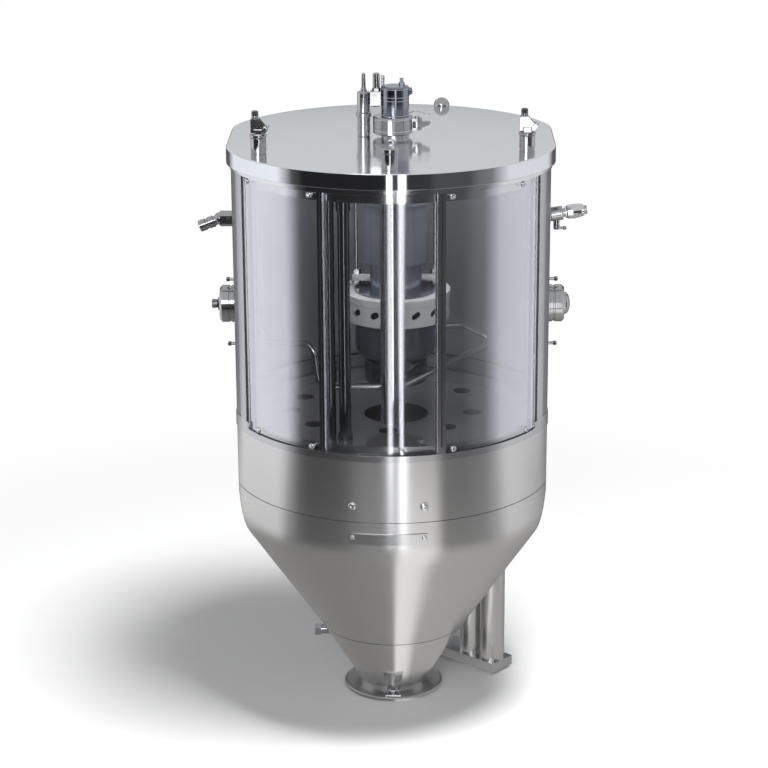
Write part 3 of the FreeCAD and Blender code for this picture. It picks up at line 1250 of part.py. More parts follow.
def left_nozzle():
    """The hose nozzle on the left flat: wall discs, hexagon, knuckle and a drooping ringed barrel."""
    outer = -TANK_HALF
    disc = cylinder_along_x(NOZZLE_DISC_R, outer - NOZZLE_DISC_T, outer, NOZZLE_Z)
    inner_disc = cylinder_along_x(NOZZLE_DISC_R, outer + WALL, outer + WALL + NOZZLE_DISC_T, NOZZLE_Z)
    through = cylinder_along_x(left_stub_radius(), outer - 1, outer + WALL + 1, NOZZLE_Z)
    body = aimed(hexagon(NOZZLE_HEX, 0, LEFT_HEX_L), V(outer - NOZZLE_DISC_T + 0.5, 0, NOZZLE_Z), V(-1, 0, 0))
    knuckle_x = outer - NOZZLE_DISC_T - LEFT_HEX_L + 1
    knuckle = Part.makeSphere(NOZZLE_HEX / 2 - 0.6, V(knuckle_x, 0, NOZZLE_Z))
    droop = math.radians(LEFT_DROOP)
    axis = V(-math.cos(droop), 0, -math.sin(droop))
    r = BARREL_R
    barrel = revolved([(0, 0), (r - 1.5, 0), (r - 1.5, 8), (r, 9), (r, 16), (r - 1, 17), (r - 1, 19), (r, 20),
                       (r, BARREL_L - 1), (r - 1, BARREL_L), (0, BARREL_L)])
    barrel = aimed(barrel, V(knuckle_x, 0, NOZZLE_Z), axis)
    mouth = V(knuckle_x, 0, NOZZLE_Z) + axis * (BARREL_L - NOZZLE_BORE_L)
    bore = Part.makeCylinder(NOZZLE_BORE_R, NOZZLE_BORE_L + 1, mouth, axis)
    solid = disc.fuse(inner_disc).fuse(through).fuse(body).fuse(knuckle).fuse(barrel)
    return solid.cut(bore)


def right_axis():
    rise = math.radians(RIGHT_RISE)
    return V(math.cos(rise), 0, math.sin(rise))


def right_start():
    return V(TANK_HALF, 0, RIGHT_NOZZLE_Z)


def right_nozzle():
    """The quick coupling on the right flat: disc, round body, spindle and a drain cock below."""
    disc = cylinder_along_x(NOZZLE_DISC_R, TANK_HALF, TANK_HALF + NOZZLE_DISC_T, RIGHT_NOZZLE_Z)
    inner_disc = cylinder_along_x(NOZZLE_DISC_R, TANK_HALF - WALL - NOZZLE_DISC_T, TANK_HALF - WALL, RIGHT_NOZZLE_Z)
    through = cylinder_along_x(SPINDLE_R, TANK_HALF - WALL - 1, TANK_HALF + 1, RIGHT_NOZZLE_Z)
    end = NOZZLE_DISC_T + RIGHT_BODY_L
    r = RIGHT_BODY_R
    points = [(0, 1.5), (r - 1, 1.5), (r, 4), (r, end - 1), (r - 1, end), (SPINDLE_R, end),
              (SPINDLE_R, end + SPINDLE_L), (0, end + SPINDLE_L)]
    body = aimed(revolved(points), right_start(), right_axis())
    bore = Part.makeCylinder(NOZZLE_BORE_R, NOZZLE_BORE_L + 1,
                             right_start() + right_axis() * (end + SPINDLE_L - NOZZLE_BORE_L), right_axis())
    cock = cock_place()
    leg = cylinder(COCK_R, cock.z, cock.z + COCK_DROP - 2, cock.x)
    leg = leg.cut(cylinder(1.5 + RUN_GAP, cock.z - 1, cock.z + 6, cock.x))
    return disc.fuse(inner_disc).fuse(through).fuse(body).fuse(leg).cut(bore)


def cock_place():
    return V(TANK_HALF + NOZZLE_DISC_T + 8, 0, RIGHT_NOZZLE_Z - COCK_DROP)


def drain_lever():
    """The cock's little cross handle, on a stem that turns in the leg above it."""
    cock = cock_place()
    stem = cylinder(1.5, cock.z - 3, cock.z + 5, cock.x)
    hub = cylinder(COCK_R - 0.4, cock.z - 4, cock.z - SEAT_GAP, cock.x)
    half = COCK_HANDLE_L / 2
    handle = cylinder_along_x(1.8, cock.x - 4, cock.x + half + 3, cock.z - 2.4)
    tip = Part.makeSphere(2.6, V(cock.x + half + 3, 0, cock.z - 2.4))
    return stem.fuse(hub).fuse(handle).fuse(tip)


def coupling_sleeve():
    """The barrel-shaped sleeve that slides on the spindle, with a ribbed rear edge."""
    start = NOZZLE_DISC_T + RIGHT_BODY_L + SLEEVE_TRAVEL + SEAT_GAP
    r = SLEEVE_R
    bore = SPINDLE_R + RUN_GAP
    end = start + SLEEVE_L
    points = [(bore, start), (r - 1.6, start), (r - 1.6, start + 2), (r - 0.6, start + 3.5), (r, start + 10),
              (r - 0.4, start + 16), (r - 1.2, end - 3), (r - 1.6, end - 2.5), (r - 1.6, end), (bore, end)]
    return aimed(revolved(points), right_start(), right_axis())


def side_ports():
    """The round port housing on each flat, with a rim groove and a stem hole."""
    ports = []
    for sign in (-1, 1):
        r, reach = PORT_R, PORT_REACH
        points = [(STEM_HOLE_R + RUN_GAP, 0), (r + 1.2, 0), (r + 1.2, 3), (r, 3.5), (r, 7), (r - 1.2, 7.5),
                  (r - 1.2, 9.5), (r, 10), (r, reach - PORT_RIM), (r - 3, reach), (STEM_HOLE_R + RUN_GAP, reach)]
        ports.append(aimed(revolved(points), V(sign * TANK_HALF, 0, PORT_Z), V(sign, 0, 0)).Solids[0])
    return Part.makeCompound(ports)


def left_knob():
    """A small dark knob on a washer, with its stem in the left port."""
    face = PORT_REACH + SEAT_GAP
    r, end = LEFT_KNOB_R, face + WASHER_T + LEFT_KNOB_L - 2
    points = [(0, face - 12), (STEM_HOLE_R, face - 12), (STEM_HOLE_R, face), (WASHER_R, face),
              (WASHER_R - 1, face + WASHER_T), (r - 1, face + WASHER_T), (r, face + WASHER_T + 1), (r + 0.4, end - 1),
              (r - 0.4, end), (0, end)]
    knob = revolved(points)
    for i in range(KNURLS):
        a = math.radians(360 * i / KNURLS)
        reach = r + 0.7
        knob = knob.cut(cylinder(0.8, face + WASHER_T + 1, end + 1, reach * math.cos(a), reach * math.sin(a)))
    return aimed(knob, V(-TANK_HALF, 0, PORT_Z), V(-1, 0, 0))


def right_knob():
    """A domed knob with a small finger on its rim, and its stem in the right port."""
    face = PORT_REACH + SEAT_GAP
    r, h = DOME_KNOB_R, DOME_KNOB_H
    points = [(0, face - 12), (STEM_HOLE_R, face - 12), (STEM_HOLE_R, face), (r, face), (r, face + 1.5),
              (r * 0.93, face + h * 0.45), (r * 0.72, face + h * 0.76), (r * 0.4, face + h * 0.95), (0, face + h)]
    knob = revolved(points)
    finger = box(r - 2, r + 6, -1.5, 1.5, face + 0.3, face + 3)
    knob = knob.fuse(finger.makeChamfer(0.6, [e for e in finger.Edges if e.Length > 7]))
    knob = aimed(knob, V(TANK_HALF, 0, PORT_Z), V(1, 0, 0))
    high = V(TANK_HALF, 0, PORT_Z)
    knob.rotate(high, V(1, 0, 0), finger_turn(knob))
    return knob


def finger_turn(knob):
    """The turn about the knob's own axis that brings its finger to the top."""
    top = knob.BoundBox.ZMax - PORT_Z
    return 0 if top > DOME_KNOB_R + 3 else 90


def side_pins():
    """Two short ball-ended pins on each flat, above and below the port."""
    pins = []
    for sign in (-1, 1):
        for z in (PIN_UPPER_Z, PIN_LOWER_Z):
            r = PIN_R
            points = [(0, 0), (r + 2, 0), (r + 2, 1.2), (r - 0.6, 1.6), (r - 0.6, PIN_REACH - 5), (r, PIN_REACH - 4.5),
                      (r + 0.6, PIN_REACH - 2.5), (r, PIN_REACH - 0.7), (r - 1.2, PIN_REACH), (0, PIN_REACH)]
            pins.append(aimed(revolved(points), V(sign * TANK_HALF, 0, z), V(sign, 0, 0)).Solids[0])
    return Part.makeCompound(pins)


def build():
    save("base_flange", base_flange())
    save("outlet_spout", outlet_spout())
    save("outlet_latch", outlet_latch())
    save("hopper_cone", hopper_cone())
    save("side_port", side_port())
    save("support_tubes", support_tubes())
    save("foot_bar", foot_bar())
    save("deck_band", deck_band())
    save("deck_plate", deck_plate())
    save("deck_ring", deck_ring())
    save("button_screws", button_screws())
    save("nameplate", nameplate())
    save("rear_shell", rear_shell())
    save("corner_strip_left", corner_strip(-1))
    save("corner_strip_right", corner_strip(1))
    save("mullion_left", mullion(MULLION_LEFT, MULLION_W_LEFT))
    save("mullion_right", mullion(MULLION_RIGHT, MULLION_W_RIGHT))
    for index, side in enumerate(("left", "centre", "right")):
        save(f"glass_{side}", glass_pane(index))
    save("top_ring", top_ring())
    save("lid_gasket", lid_gasket())
    save("lid", lid())
    save("fitting_bosses", fitting_bosses())
    save("fitting_bodies", fitting_bodies())
    save("fitting_knob_left", fitting_knob(FITTING_ANGLES[0]))
    save("fitting_knob_right", fitting_knob(FITTING_ANGLES[1]))
    save("front_eye", front_eye())
    save("vent_dome", vent_dome())
    save("motor_clamp", motor_clamp())
    save("clamp_lever", clamp_lever())
    save("motor_can", motor_can())
    save("motor_cap", motor_cap())
    save("sensor_body", sensor_body())
    save("sensor_stem", sensor_stem())
    save("valve_block", valve_block())
    save("drive_housing", drive_housing())
    save("bearing_carrier", bearing_carrier())
    save("shaft_bearings", shaft_bearings())
    save("shaft_seal", shaft_seal())
    save("drive_shaft", drive_shaft())
    save("rotor", rotor())
    save("stator", stator())
    save("mill_bowl", mill_bowl())
    save("adjusting_ring", adjusting_ring())
    save("discharge_tube", discharge_tube())
    save("head_bracket", head_bracket())
    save("hanger_rods", hanger_rods())
    save("inlet_tube", inlet_tube())
    save("guide_columns", guide_columns())
    save("recirculation_pipe", recirculation_pipe())
    save("left_nozzle", left_nozzle())
    save("right_nozzle", right_nozzle())
    save("coupling_sleeve", coupling_sleeve())
    save("drain_lever", drain_lever())
    save("side_ports", side_ports())
    save("left_knob", left_knob())
    save("right_knob", right_knob())
    save("side_pins", side_pins())


build()
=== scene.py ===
import math

import bmesh
import bpy
from mathutils import Matrix, Vector

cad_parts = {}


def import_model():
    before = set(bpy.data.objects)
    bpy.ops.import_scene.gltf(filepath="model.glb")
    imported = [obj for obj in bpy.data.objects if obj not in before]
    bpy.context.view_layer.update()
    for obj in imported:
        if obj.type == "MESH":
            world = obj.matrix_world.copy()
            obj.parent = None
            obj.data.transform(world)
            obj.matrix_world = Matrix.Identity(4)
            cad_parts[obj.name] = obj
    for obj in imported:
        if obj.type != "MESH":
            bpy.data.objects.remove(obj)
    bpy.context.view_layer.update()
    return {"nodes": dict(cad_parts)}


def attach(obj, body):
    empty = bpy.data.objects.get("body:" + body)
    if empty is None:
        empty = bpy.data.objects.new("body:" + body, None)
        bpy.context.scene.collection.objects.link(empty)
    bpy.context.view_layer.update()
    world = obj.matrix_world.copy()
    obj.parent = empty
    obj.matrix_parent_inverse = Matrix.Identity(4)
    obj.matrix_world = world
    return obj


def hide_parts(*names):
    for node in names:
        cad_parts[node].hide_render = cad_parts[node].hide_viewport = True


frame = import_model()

# Sizes and places of the object are in mm, and turned into Blender's metres by MM. Directions are in degrees from the
# front, round by the right. Materials and the stage are in metres.

NODES = frame["nodes"]
UP = Vector((0, 0, 1))
MM = 0.001

TANK_R, FLAT_HALF = 208.0, 200.0
SEAM_Z = 97.0
SPOUT_FOOT_Z = 22.0
DECK_TOP = 388.0
RING_FOOT, LIP_TOP, RING_TOP = 390.0, 398.0, 407.0
PANE_TOP, PANE_R, PANE_OUTER_R = 726.0, 206.0, 206.3
RING_R = 209.0
LID_FOOT, LID_TOP = 734.0, 754.0
MULLION_R = 207.9
MULLIONS = ((-23.8, 7.0), (17.4, 10.5))  # direction and width
STRIP_EDGE = 62.0  # where the side strips end, either side of the front
MILL_X, CLAMP_X, CLAMP_TOP = 5.0, 2.0, 782.0

# Axes that brushed finishes run round, in metres
TANK_AXIS, MILL_AXIS, DECK_AXIS, TUBES_AXIS = (0.0, 0.0), (0.005, 0.0), (0.005, -0.008), (0.12, 0.06)


# Materials

class Graph:
    """The nodes of a material or world. What a call takes is another node's output, or a plain value."""

    def __init__(self, tree):
        self.nodes, self.links = tree.nodes, tree.links

    def put(self, socket, value):
        if isinstance(value, bpy.types.NodeSocket):
            self.links.new(value, socket)
        elif socket.type == "RGBA":
            socket.default_value = (*value, 1)
        else:
            socket.default_value = value

    def node(self, kind, inputs=(), **settings):
        """A new node. Its settings come first, as they decide which inputs it has."""
        node = self.nodes.new(kind)
        for name, value in settings.items():
            setattr(node, name, value)
        for key, value in dict(inputs).items():
            self.put(node.inputs[key], value)
        return node

    def coordinates(self):
        return self.node("ShaderNodeTexCoord").outputs["Object"]

    def split(self, vector):
        return self.node("ShaderNodeSeparateXYZ", {0: vector}).outputs

    def join(self, **parts):
        return self.node("ShaderNodeCombineXYZ", parts).outputs[0]

    def math(self, operation, *operands):
        return self.node("ShaderNodeMath", enumerate(operands), operation=operation).outputs[0]

    def length(self, vector):
        return self.node("ShaderNodeVectorMath", {0: vector}, operation="LENGTH").outputs["Value"]

    def map_range(self, value, start, end, low=0.0, high=1.0, **settings):
        inputs = {"Value": value, "From Min": start, "From Max": end, "To Min": low, "To Max": high}
        return self.node("ShaderNodeMapRange", inputs, **settings).outputs["Result"]

    def noise(self, vector, scale, detail, stretch=(1, 1, 1)):
        mapped = self.node("ShaderNodeMapping", {"Vector": vector, "Scale": stretch}).outputs["Vector"]
        return self.node("ShaderNodeTexNoise", {"Vector": mapped, "Scale": scale, "Detail": detail}).outputs["Fac"]

    def spread(self, value, low, high):
        """Noise, which stays near its middle, opened out between two values."""
        return self.map_range(value, 0.25, 0.75, low, high)

    def blend(self, factor, low, high, mode="MIX"):
        inputs = {"Factor": factor, "A": low, "B": high}
        return self.node("ShaderNodeMix", inputs, data_type="RGBA", blend_type=mode).outputs["Result"]

    def bump(self, height, strength, distance):
        return self.node("ShaderNodeBump", {"Height": height, "Strength": strength,
                                            "Distance": distance}).outputs["Normal"]

    def around(self, vector, axis):
        """Coordinates (angle, 0, height) about an upright axis, for marks that run round it."""
        x, y, z = self.split(vector)
        angle = self.math("ARCTAN2", self.math("SUBTRACT", x, axis[0]), self.math("SUBTRACT", y, axis[1]))
        return self.join(X=angle, Z=z)

    def choose(self, factor, one, two):
        return self.node("ShaderNodeMixShader", {0: factor, 1: one, 2: two}).outputs[0]


def new_material(name):
    """A material with its graph, and a call that sets one of its shader's inputs."""
    mat = bpy.data.materials.new(name)
    mat.use_nodes = True
    graph = Graph(mat.node_tree)
    shader = graph.nodes["Principled BSDF"]
    return mat, graph, lambda name, value: graph.put(shader.inputs[name], value)


BRUSH_LINES = {"round": (2.0, 1.0, 900.0), "up": (260.0, 1.0, 3.0)}


def metal(name, low, high, rough, brush=None, brush_depth=0.0, axis=TANK_AXIS, anisotropic=0.0, smudge=0.03,
          metallic=1.0):
    """Steel with soft smudges in its gloss. brush is none, round or up, the way its fine lines run."""
    mat, graph, shade = new_material(name)
    coords = graph.coordinates()
    value = cloud = graph.noise(coords, 14.0, 3.0)
    if brush:
        lines = graph.noise(graph.around(coords, axis), 1.0, 3.0, BRUSH_LINES[brush])
        value = graph.math("MULTIPLY_ADD", lines, 0.6, graph.math("MULTIPLY", cloud, 0.4))
        shade("Normal", graph.bump(lines, brush_depth, 0.0003))
    else:
        shade("Normal", graph.bump(graph.noise(coords, 160.0, 2.0), 0.04, 0.0002))
    if anisotropic:
        shade("Anisotropic", anisotropic)
        shade("Anisotropic Rotation", 0.25)
        shade("Tangent", graph.node("ShaderNodeTangent", direction_type="RADIAL", axis="Z").outputs[0])
    shade("Metallic", metallic)
    shade("Base Color", graph.blend(value, low, high))
    shade("Roughness", graph.spread(value, rough - smudge, rough + smudge))
    return mat


def plastic(name, low, high, rough, grain, strength):
    """Moulded or rubbery stuff with a fine grain."""
    mat, graph, shade = new_material(name)
    coords = graph.coordinates()
    speck = graph.noise(coords, grain, 4.0)
    shade("Base Color", graph.blend(graph.noise(coords, 25.0, 3.0), low, high))
    shade("Roughness", graph.spread(speck, rough - 0.08, rough + 0.08))
    shade("Normal", graph.bump(speck, strength, 0.0002))
    return mat


def shell(name):
    """The rear shell: its inside in the chamber is painted lighter, as if lit, than its brushed outside skin."""
    skin_r, skin_half, painted_light_contrast = 0.2070, 0.1990, (0.52, 0.52, 0.52)
    mat = metal(name, (0.50, 0.51, 0.55), (0.58, 0.59, 0.63), 0.30, "up", 0.04, metallic=0.8)
    graph = Graph(mat.node_tree)
    colour = graph.nodes["Principled BSDF"].inputs["Base Color"]
    x, y, _ = graph.split(graph.coordinates())
    past_round = graph.math("GREATER_THAN", graph.length(graph.join(X=x, Y=y)), skin_r)
    past_flat = graph.math("GREATER_THAN", graph.math("ABSOLUTE", x), skin_half)
    outside = graph.math("MAXIMUM", past_round, past_flat)
    # Painted light: the outside skin's colour is multiplied down, so the chamber's inside shows as a lit copy of the
    # same steel.
    graph.put(colour, graph.blend(outside, colour.links[0].from_socket, painted_light_contrast, "MULTIPLY"))
    return mat


def glass(name):
    """Clear glazing: see-through, with a mirror sheen that grows to the sides."""
    mat, graph, shade = new_material(name)
    haze = graph.noise(graph.coordinates(), 6.0, 3.0)
    facing = graph.node("ShaderNodeLayerWeight", {"Blend": 0.5}).outputs["Facing"]
    shade("Base Color", graph.blend(haze, (0.84, 0.85, 0.90), (0.90, 0.905, 0.95)))
    shade("Roughness", graph.spread(haze, 0.05, 0.09))
    shade("Metallic", 1.0)
    shade("Alpha", graph.map_range(facing, 0.05, 0.50, 0.12, 0.62))
    return mat


BRUSHED = metal("brushed_round", (0.60, 0.60, 0.605), (0.68, 0.68, 0.685), 0.25, "round", 0.02, anisotropic=0.88)
SATIN = metal("satin_round", (0.50, 0.505, 0.52), (0.58, 0.585, 0.60), 0.22, "round", 0.03, anisotropic=0.7)
SHELL = shell("brushed_shell")
DECK = metal("deck_steel", (0.46, 0.46, 0.49), (0.56, 0.56, 0.59), 0.12, "round", 0.03, DECK_AXIS, metallic=0.75)
TUBE_STEEL = metal("tube_steel", (0.60, 0.60, 0.60), (0.68, 0.68, 0.68), 0.24, "round", 0.06, TUBES_AXIS)
POLISHED = metal("polished_steel", (0.66, 0.665, 0.68), (0.76, 0.765, 0.78), 0.10)
FLANGE = metal("flange_steel", (0.36, 0.36, 0.36), (0.44, 0.44, 0.44), 0.38, "round", 0.03)
TRIM = metal("trim_steel", (0.42, 0.425, 0.44), (0.52, 0.525, 0.54), 0.16)
MIRROR = metal("lid_mirror", (0.76, 0.79, 0.82), (0.80, 0.83, 0.86), 0.13, smudge=0.02)
RIM = metal("lid_rim", (0.72, 0.74, 0.78), (0.80, 0.82, 0.86), 0.045, smudge=0.01)
COLUMN = metal("column_steel", (0.14, 0.15, 0.16), (0.20, 0.21, 0.22), 0.14)
CAST = metal("machined_steel", (0.38, 0.39, 0.41), (0.50, 0.51, 0.53), 0.17, "round", 0.05, MILL_AXIS)
HOUSING = metal("housing_alloy", (0.40, 0.44, 0.52), (0.48, 0.52, 0.60), 0.22, "round", 0.02, MILL_AXIS,
                metallic=0.75)
BOWL = metal("bowl_steel", (0.15, 0.17, 0.21), (0.20, 0.22, 0.27), 0.24, "round", 0.05, MILL_AXIS, metallic=0.6)
MOTOR = metal("motor_steel", (0.20, 0.22, 0.26), (0.30, 0.32, 0.37), 0.12, "round", 0.05, MILL_AXIS)
FITTING = metal("fitting_steel", (0.38, 0.38, 0.39), (0.52, 0.52, 0.53), 0.15)
DARK = metal("dark_steel", (0.16, 0.16, 0.165), (0.24, 0.24, 0.245), 0.24)
WHITE = plastic("ring_white", (0.60, 0.61, 0.63), (0.68, 0.69, 0.71), 0.36, 260.0, 0.12)
RUBBER = plastic("seal_rubber", (0.012, 0.012, 0.014), (0.028, 0.028, 0.03), 0.62, 320.0, 0.25)
GLASS = glass("clear_glass")

FINISHES = {
    BRUSHED: "hopper_cone outlet_spout deck_band",
    SATIN: "deck_ring nameplate foot_bar",
    FLANGE: "base_flange",
    SHELL: "rear_shell",
    DECK: "deck_plate",
    TUBE_STEEL: "support_tubes",
    POLISHED: "button_screws top_ring vent_dome hanger_rods inlet_tube recirculation_pipe coupling_sleeve",
    FITTING: "outlet_latch side_port fitting_bosses fitting_bodies front_eye left_nozzle right_nozzle side_pins "
             "drain_lever sensor_body sensor_stem valve_block right_knob side_ports",
    TRIM: "corner_strip_left corner_strip_right mullion_left mullion_right clamp_lever",
    COLUMN: "guide_columns",
    MIRROR: "lid",
    CAST: "shaft_bearings drive_shaft rotor stator discharge_tube motor_clamp head_bracket",
    HOUSING: "drive_housing bearing_carrier",
    BOWL: "mill_bowl",
    MOTOR: "motor_can motor_cap",
    DARK: "fitting_knob_left fitting_knob_right left_knob",
    WHITE: "adjusting_ring",
    RUBBER: "lid_gasket shaft_seal",
    GLASS: "glass_left glass_centre glass_right",
}


def finish_node(name, mat):
    slots = NODES[name].material_slots
    for each in slots:
        each.material = mat
    if not slots:
        NODES[name].data.materials.append(mat)


for finish, names in FINISHES.items():
    for each in names.split():
        finish_node(each, finish)


# Building meshes

def link_new(name, data):
    obj = bpy.data.objects.new(name, data)
    bpy.context.scene.collection.objects.link(obj)
    return obj


def object_from(name, bm, mat):
    mesh = bpy.data.meshes.new(name)
    bm.to_mesh(mesh)
    bm.free()
    mesh.materials.append(mat)
    return link_new(name, mesh)


def add_piece(name, bm, mat, smooth=40.0):
    """A piece of the vessel, smooth but for the edges that turn by more than the given degrees."""
    bmesh.ops.recalc_face_normals(bm, faces=bm.faces)
    obj = object_from(name, bm, mat)
    for face in obj.data.polygons:
        face.use_smooth = True
    obj.data.set_sharp_from_angle(angle=math.radians(smooth))
    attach(obj, "vessel")
    return obj


def frame_of(place, axis):
    """The matrix at a place in metres with its Z along an axis."""
    return Matrix.Translation(place) @ Vector(axis).to_track_quat("Z", "Y").to_matrix().to_4x4()


def upright(x, y, z):
    return frame_of(Vector((x, y, z)) * MM, UP)


def out_from(degrees):
    a = math.radians(degrees)
    return Vector((math.sin(a), -math.cos(a), 0))


def at_angle(radius, degrees, z):
    return out_from(degrees) * radius * MM + UP * z * MM


def circle(radius, z, matrix, segments):
    """Points of a circle about the matrix's Z axis."""
    return [matrix @ Vector((radius * MM * math.cos(a), radius * MM * math.sin(a), z * MM))
            for a in (2 * math.pi * i / segments for i in range(segments))]


def bridge(bm, low, high):
    for i in range(len(low)):
        j = (i + 1) % len(low)
        bm.faces.new([low[i], low[j], high[j], high[i]])


def add_bar(bm, sections):
    """A closed bar through sections, each a loop of points in metres."""
    loops = [[bm.verts.new(p) for p in section] for section in sections]
    for one, two in zip(loops, loops[1:]):
        bridge(bm, one, two)
    bm.faces.new(loops[0][::-1])
    bm.faces.new(loops[-1])


def add_lathe(bm, profile, matrix, segments=48, closed=False):
    """Turns a (radius, height) profile about the matrix's Z axis. It ends on the axis, or closes on itself."""
    rings = []
    for r, z in profile:
        points = circle(r, z, matrix, segments) if r else [matrix @ Vector((0, 0, z * MM))]
        rings.append([bm.verts.new(p) for p in points])
    for low, high in zip(rings, rings[1:] + (rings[:1] if closed else [])):
        for i in range(segments):
            j = (i + 1) % segments
            corners = [low[i % len(low)], low[j % len(low)], high[j % len(high)], high[i % len(high)]]
            corners = list(dict.fromkeys(corners))
            if len(corners) > 2:
                bm.faces.new(corners)


def add_ring(bm, major, minor, matrix, segments, sides=8):
    """A torus about the matrix's Z axis."""
    rings = []
    for i in range(segments):
        a = 2 * math.pi * i / segments
        out = Vector((math.cos(a), math.sin(a), 0))
        rings.append([bm.verts.new(matrix @ ((out * (major + minor * math.cos(b)) + UP * minor * math.sin(b)) * MM))
                      for b in (2 * math.pi * k / sides for k in range(sides))])
    for one, two in zip(rings, rings[1:] + rings[:1]):
        for k in range(sides):
            bm.faces.new([one[k], two[k], two[(k + 1) % sides], one[(k + 1) % sides]])


def add_wire(bm, points, radius, sides=8):
    """A round bar through points in metres."""
    sections = []
    normal = None
    for i, p in enumerate(points):
        along = (points[min(i + 1, len(points) - 1)] - points[max(i - 1, 0)]).normalized()
        if normal is None:
            normal = along.orthogonal().normalized()
        normal = (normal - along * normal.dot(along)).normalized()
        side = along.cross(normal)
        sections.append([p + (normal * math.cos(a) + side * math.sin(a)) * radius * MM
                         for a in (2 * math.pi * k / sides for k in range(sides))])
    add_bar(bm, sections)


def helix(radius, pitch, turns, matrix):
    per_turn = 20
    steps = range(turns * per_turn + 1)
    return [matrix @ Vector((radius * MM * math.cos(2 * math.pi * i / per_turn),
                             radius * MM * math.sin(2 * math.pi * i / per_turn), pitch * MM * i / per_turn))
            for i in steps]


def add_socket_screw(bm, matrix, head_r, head_h):
    """A low domed head with a real hexagon socket in it, drawn up the matrix's Z axis from its seat."""
    segments, wedge = 48, math.pi / 6
    socket_r = head_r * 0.42
    dome = ((1, 0), (1, 0.3), (0.93, 0.62), (0.78, 0.86), (0.6, 1))
    sections = [circle(head_r * wide, head_h * tall, matrix, segments) for wide, tall in dome]

    def socket_point(i, z):
        a = 2 * math.pi * i / segments
        r = socket_r * math.cos(wedge) / math.cos((a % (2 * wedge)) - wedge)
        return matrix @ Vector((r * MM * math.cos(a), r * MM * math.sin(a), z * MM))

    sections += [[socket_point(i, head_h * depth) for i in range(segments)] for depth in (1, 0.35)]
    add_bar(bm, sections)


def add_wall_strip(bm, r0, r1, a0, a1, z0, z1, steps=2):
    """A closed curved strip on the tank between two radii, angles and levels."""
    corners = ((r0, z0), (r1, z0), (r1, z1), (r0, z1))
    add_bar(bm, [[at_angle(r, a0 + (a1 - a0) * i / steps, z) for r, z in corners] for i in range(steps + 1)])


def add_outline_strip(bm, outer, inner, z0, z1):
    """A wall along two outlines, with an end at each end."""
    add_bar(bm, [[(p + UP * z) * MM for p, z in ((a, z0), (b, z0), (b, z1), (a, z1))]
                 for a, b in zip(inner, outer)])


def flatted_points(radius, half, corner):
    """Points of a circle cut by two upright flats with rounded corners, from the front round by the right."""
    across = half - corner
    back = math.sqrt((radius - corner) ** 2 - across ** 2)
    turn = math.degrees(math.atan2(across, back))
    quarter = [out_from(turn * i / 64) * radius for i in range(65)]
    quarter += [Vector((across, -back, 0)) + out_from(turn + (90 - turn) * i / 16) * corner for i in range(1, 17)]
    right = quarter + [Vector((p.x, -p.y, 0)) for p in reversed(quarter)]
    left = [Vector((-p.x, p.y, 0)) for p in reversed(right)]
    return right + left[1:-1]


# Screws, seals and seams

def screws():
    """The glazing's, the band's, the nameplate's and the deck's screws."""
    bm = bmesh.new()

    def wall_screws(angles, radius, z, head_r, head_h):
        for angle in angles:
            add_socket_screw(bm, frame_of(at_angle(radius, angle, z), out_from(angle)), head_r, head_h)

    wall_screws((-59.0, -28.0, 21.3, 51.8), PANE_R, 721, 3.8, 2.2)
    wall_screws((-54.8, -28.4, 3.7, 21.9, 55.6), PANE_R, 402, 3.8, 2.2)
    wall_screws((-13.4, 11.4), TANK_R, 331, 5.2, 3.0)
    wall_screws((-13.4, 11.4), 209.3, 290, 3.2, 1.7)
    for x, y in ((38.0, -120.8), (78.5, -155.2)):
        add_socket_screw(bm, upright(x, y, DECK_TOP), 4.8, 2.2)
    piece = add_piece("screw_heads", bm, POLISHED, smooth=30)
    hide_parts("button_screws")


def seals():
    """Dark lines beside the mullions and strips, and the dark edges of the panes."""
    clear, edge_clear, edge_width = 0.1, 0.05, 1.0
    z0, z1 = LIP_TOP + clear, PANE_TOP - clear
    bm = bmesh.new()
    for angle, _ in MULLIONS:
        add_wall_strip(bm, MULLION_R, MULLION_R + 0.55, angle - 0.2, angle + 0.2, z0, z1)
    for sign in (-1, 1):
        a0, a1 = sorted((sign * (STRIP_EDGE - 0.8), sign * (STRIP_EDGE - 0.1)))
        add_wall_strip(bm, PANE_R + 0.05, PANE_R + 1.4, a0, a1, z0, z1)
    add_piece("glazing_seals", bm, RUBBER)
    edge = bmesh.new()
    for start, end in ((-61.0, -25.0), (-22.6, 15.6), (19.2, 61.0)):
        for z0, z1 in ((LIP_TOP + edge_clear, LIP_TOP + edge_width), (PANE_TOP - edge_width, PANE_TOP - edge_clear)):
            add_wall_strip(edge, PANE_R - 0.4, PANE_R + 0.2, start, end, z0, z1, int(end - start))
    add_piece("pane_edges", edge, RUBBER)


# The vessel's lid, ring, hopper and outlet

def lid():
    """The lid's plate and turned-down rim, with fine edges. The solid has the tighter corners of the tank."""
    radius, half, corner = 218.45, 205.6, 122.0
    wall, plate, fine, soft, soft_middle, hole_r = 3.0, 4.0, 0.4, 1.2, 0.35, 12.0

    def outline(inset):
        return flatted_points(radius - inset, half - inset, corner - inset)

    centre = Vector((MILL_X, 0, 0))
    hole = [centre + (p - centre).normalized() * hole_r for p in outline(0)]
    levels = [(outline(wall), LID_FOOT), (outline(fine), LID_FOOT), (outline(0), LID_FOOT + fine),
              (outline(0), LID_TOP - soft), (outline(soft_middle), LID_TOP - soft_middle), (outline(soft), LID_TOP),
              (hole, LID_TOP), (hole, LID_TOP - plate), (outline(wall), LID_TOP - plate)]
    bm = bmesh.new()
    loops = [[bm.verts.new((p + UP * z) * MM) for p in points] for points, z in levels]
    for low, high in zip(loops, loops[1:] + loops[:1]):
        bridge(bm, low, high)
    piece = add_piece("lid_plate", bm, MIRROR, smooth=8)
    piece.data.materials.append(RIM)
    for face in piece.data.polygons:
        if abs(face.normal.z) < 0.3:
            face.material_index = 1
    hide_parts("lid")


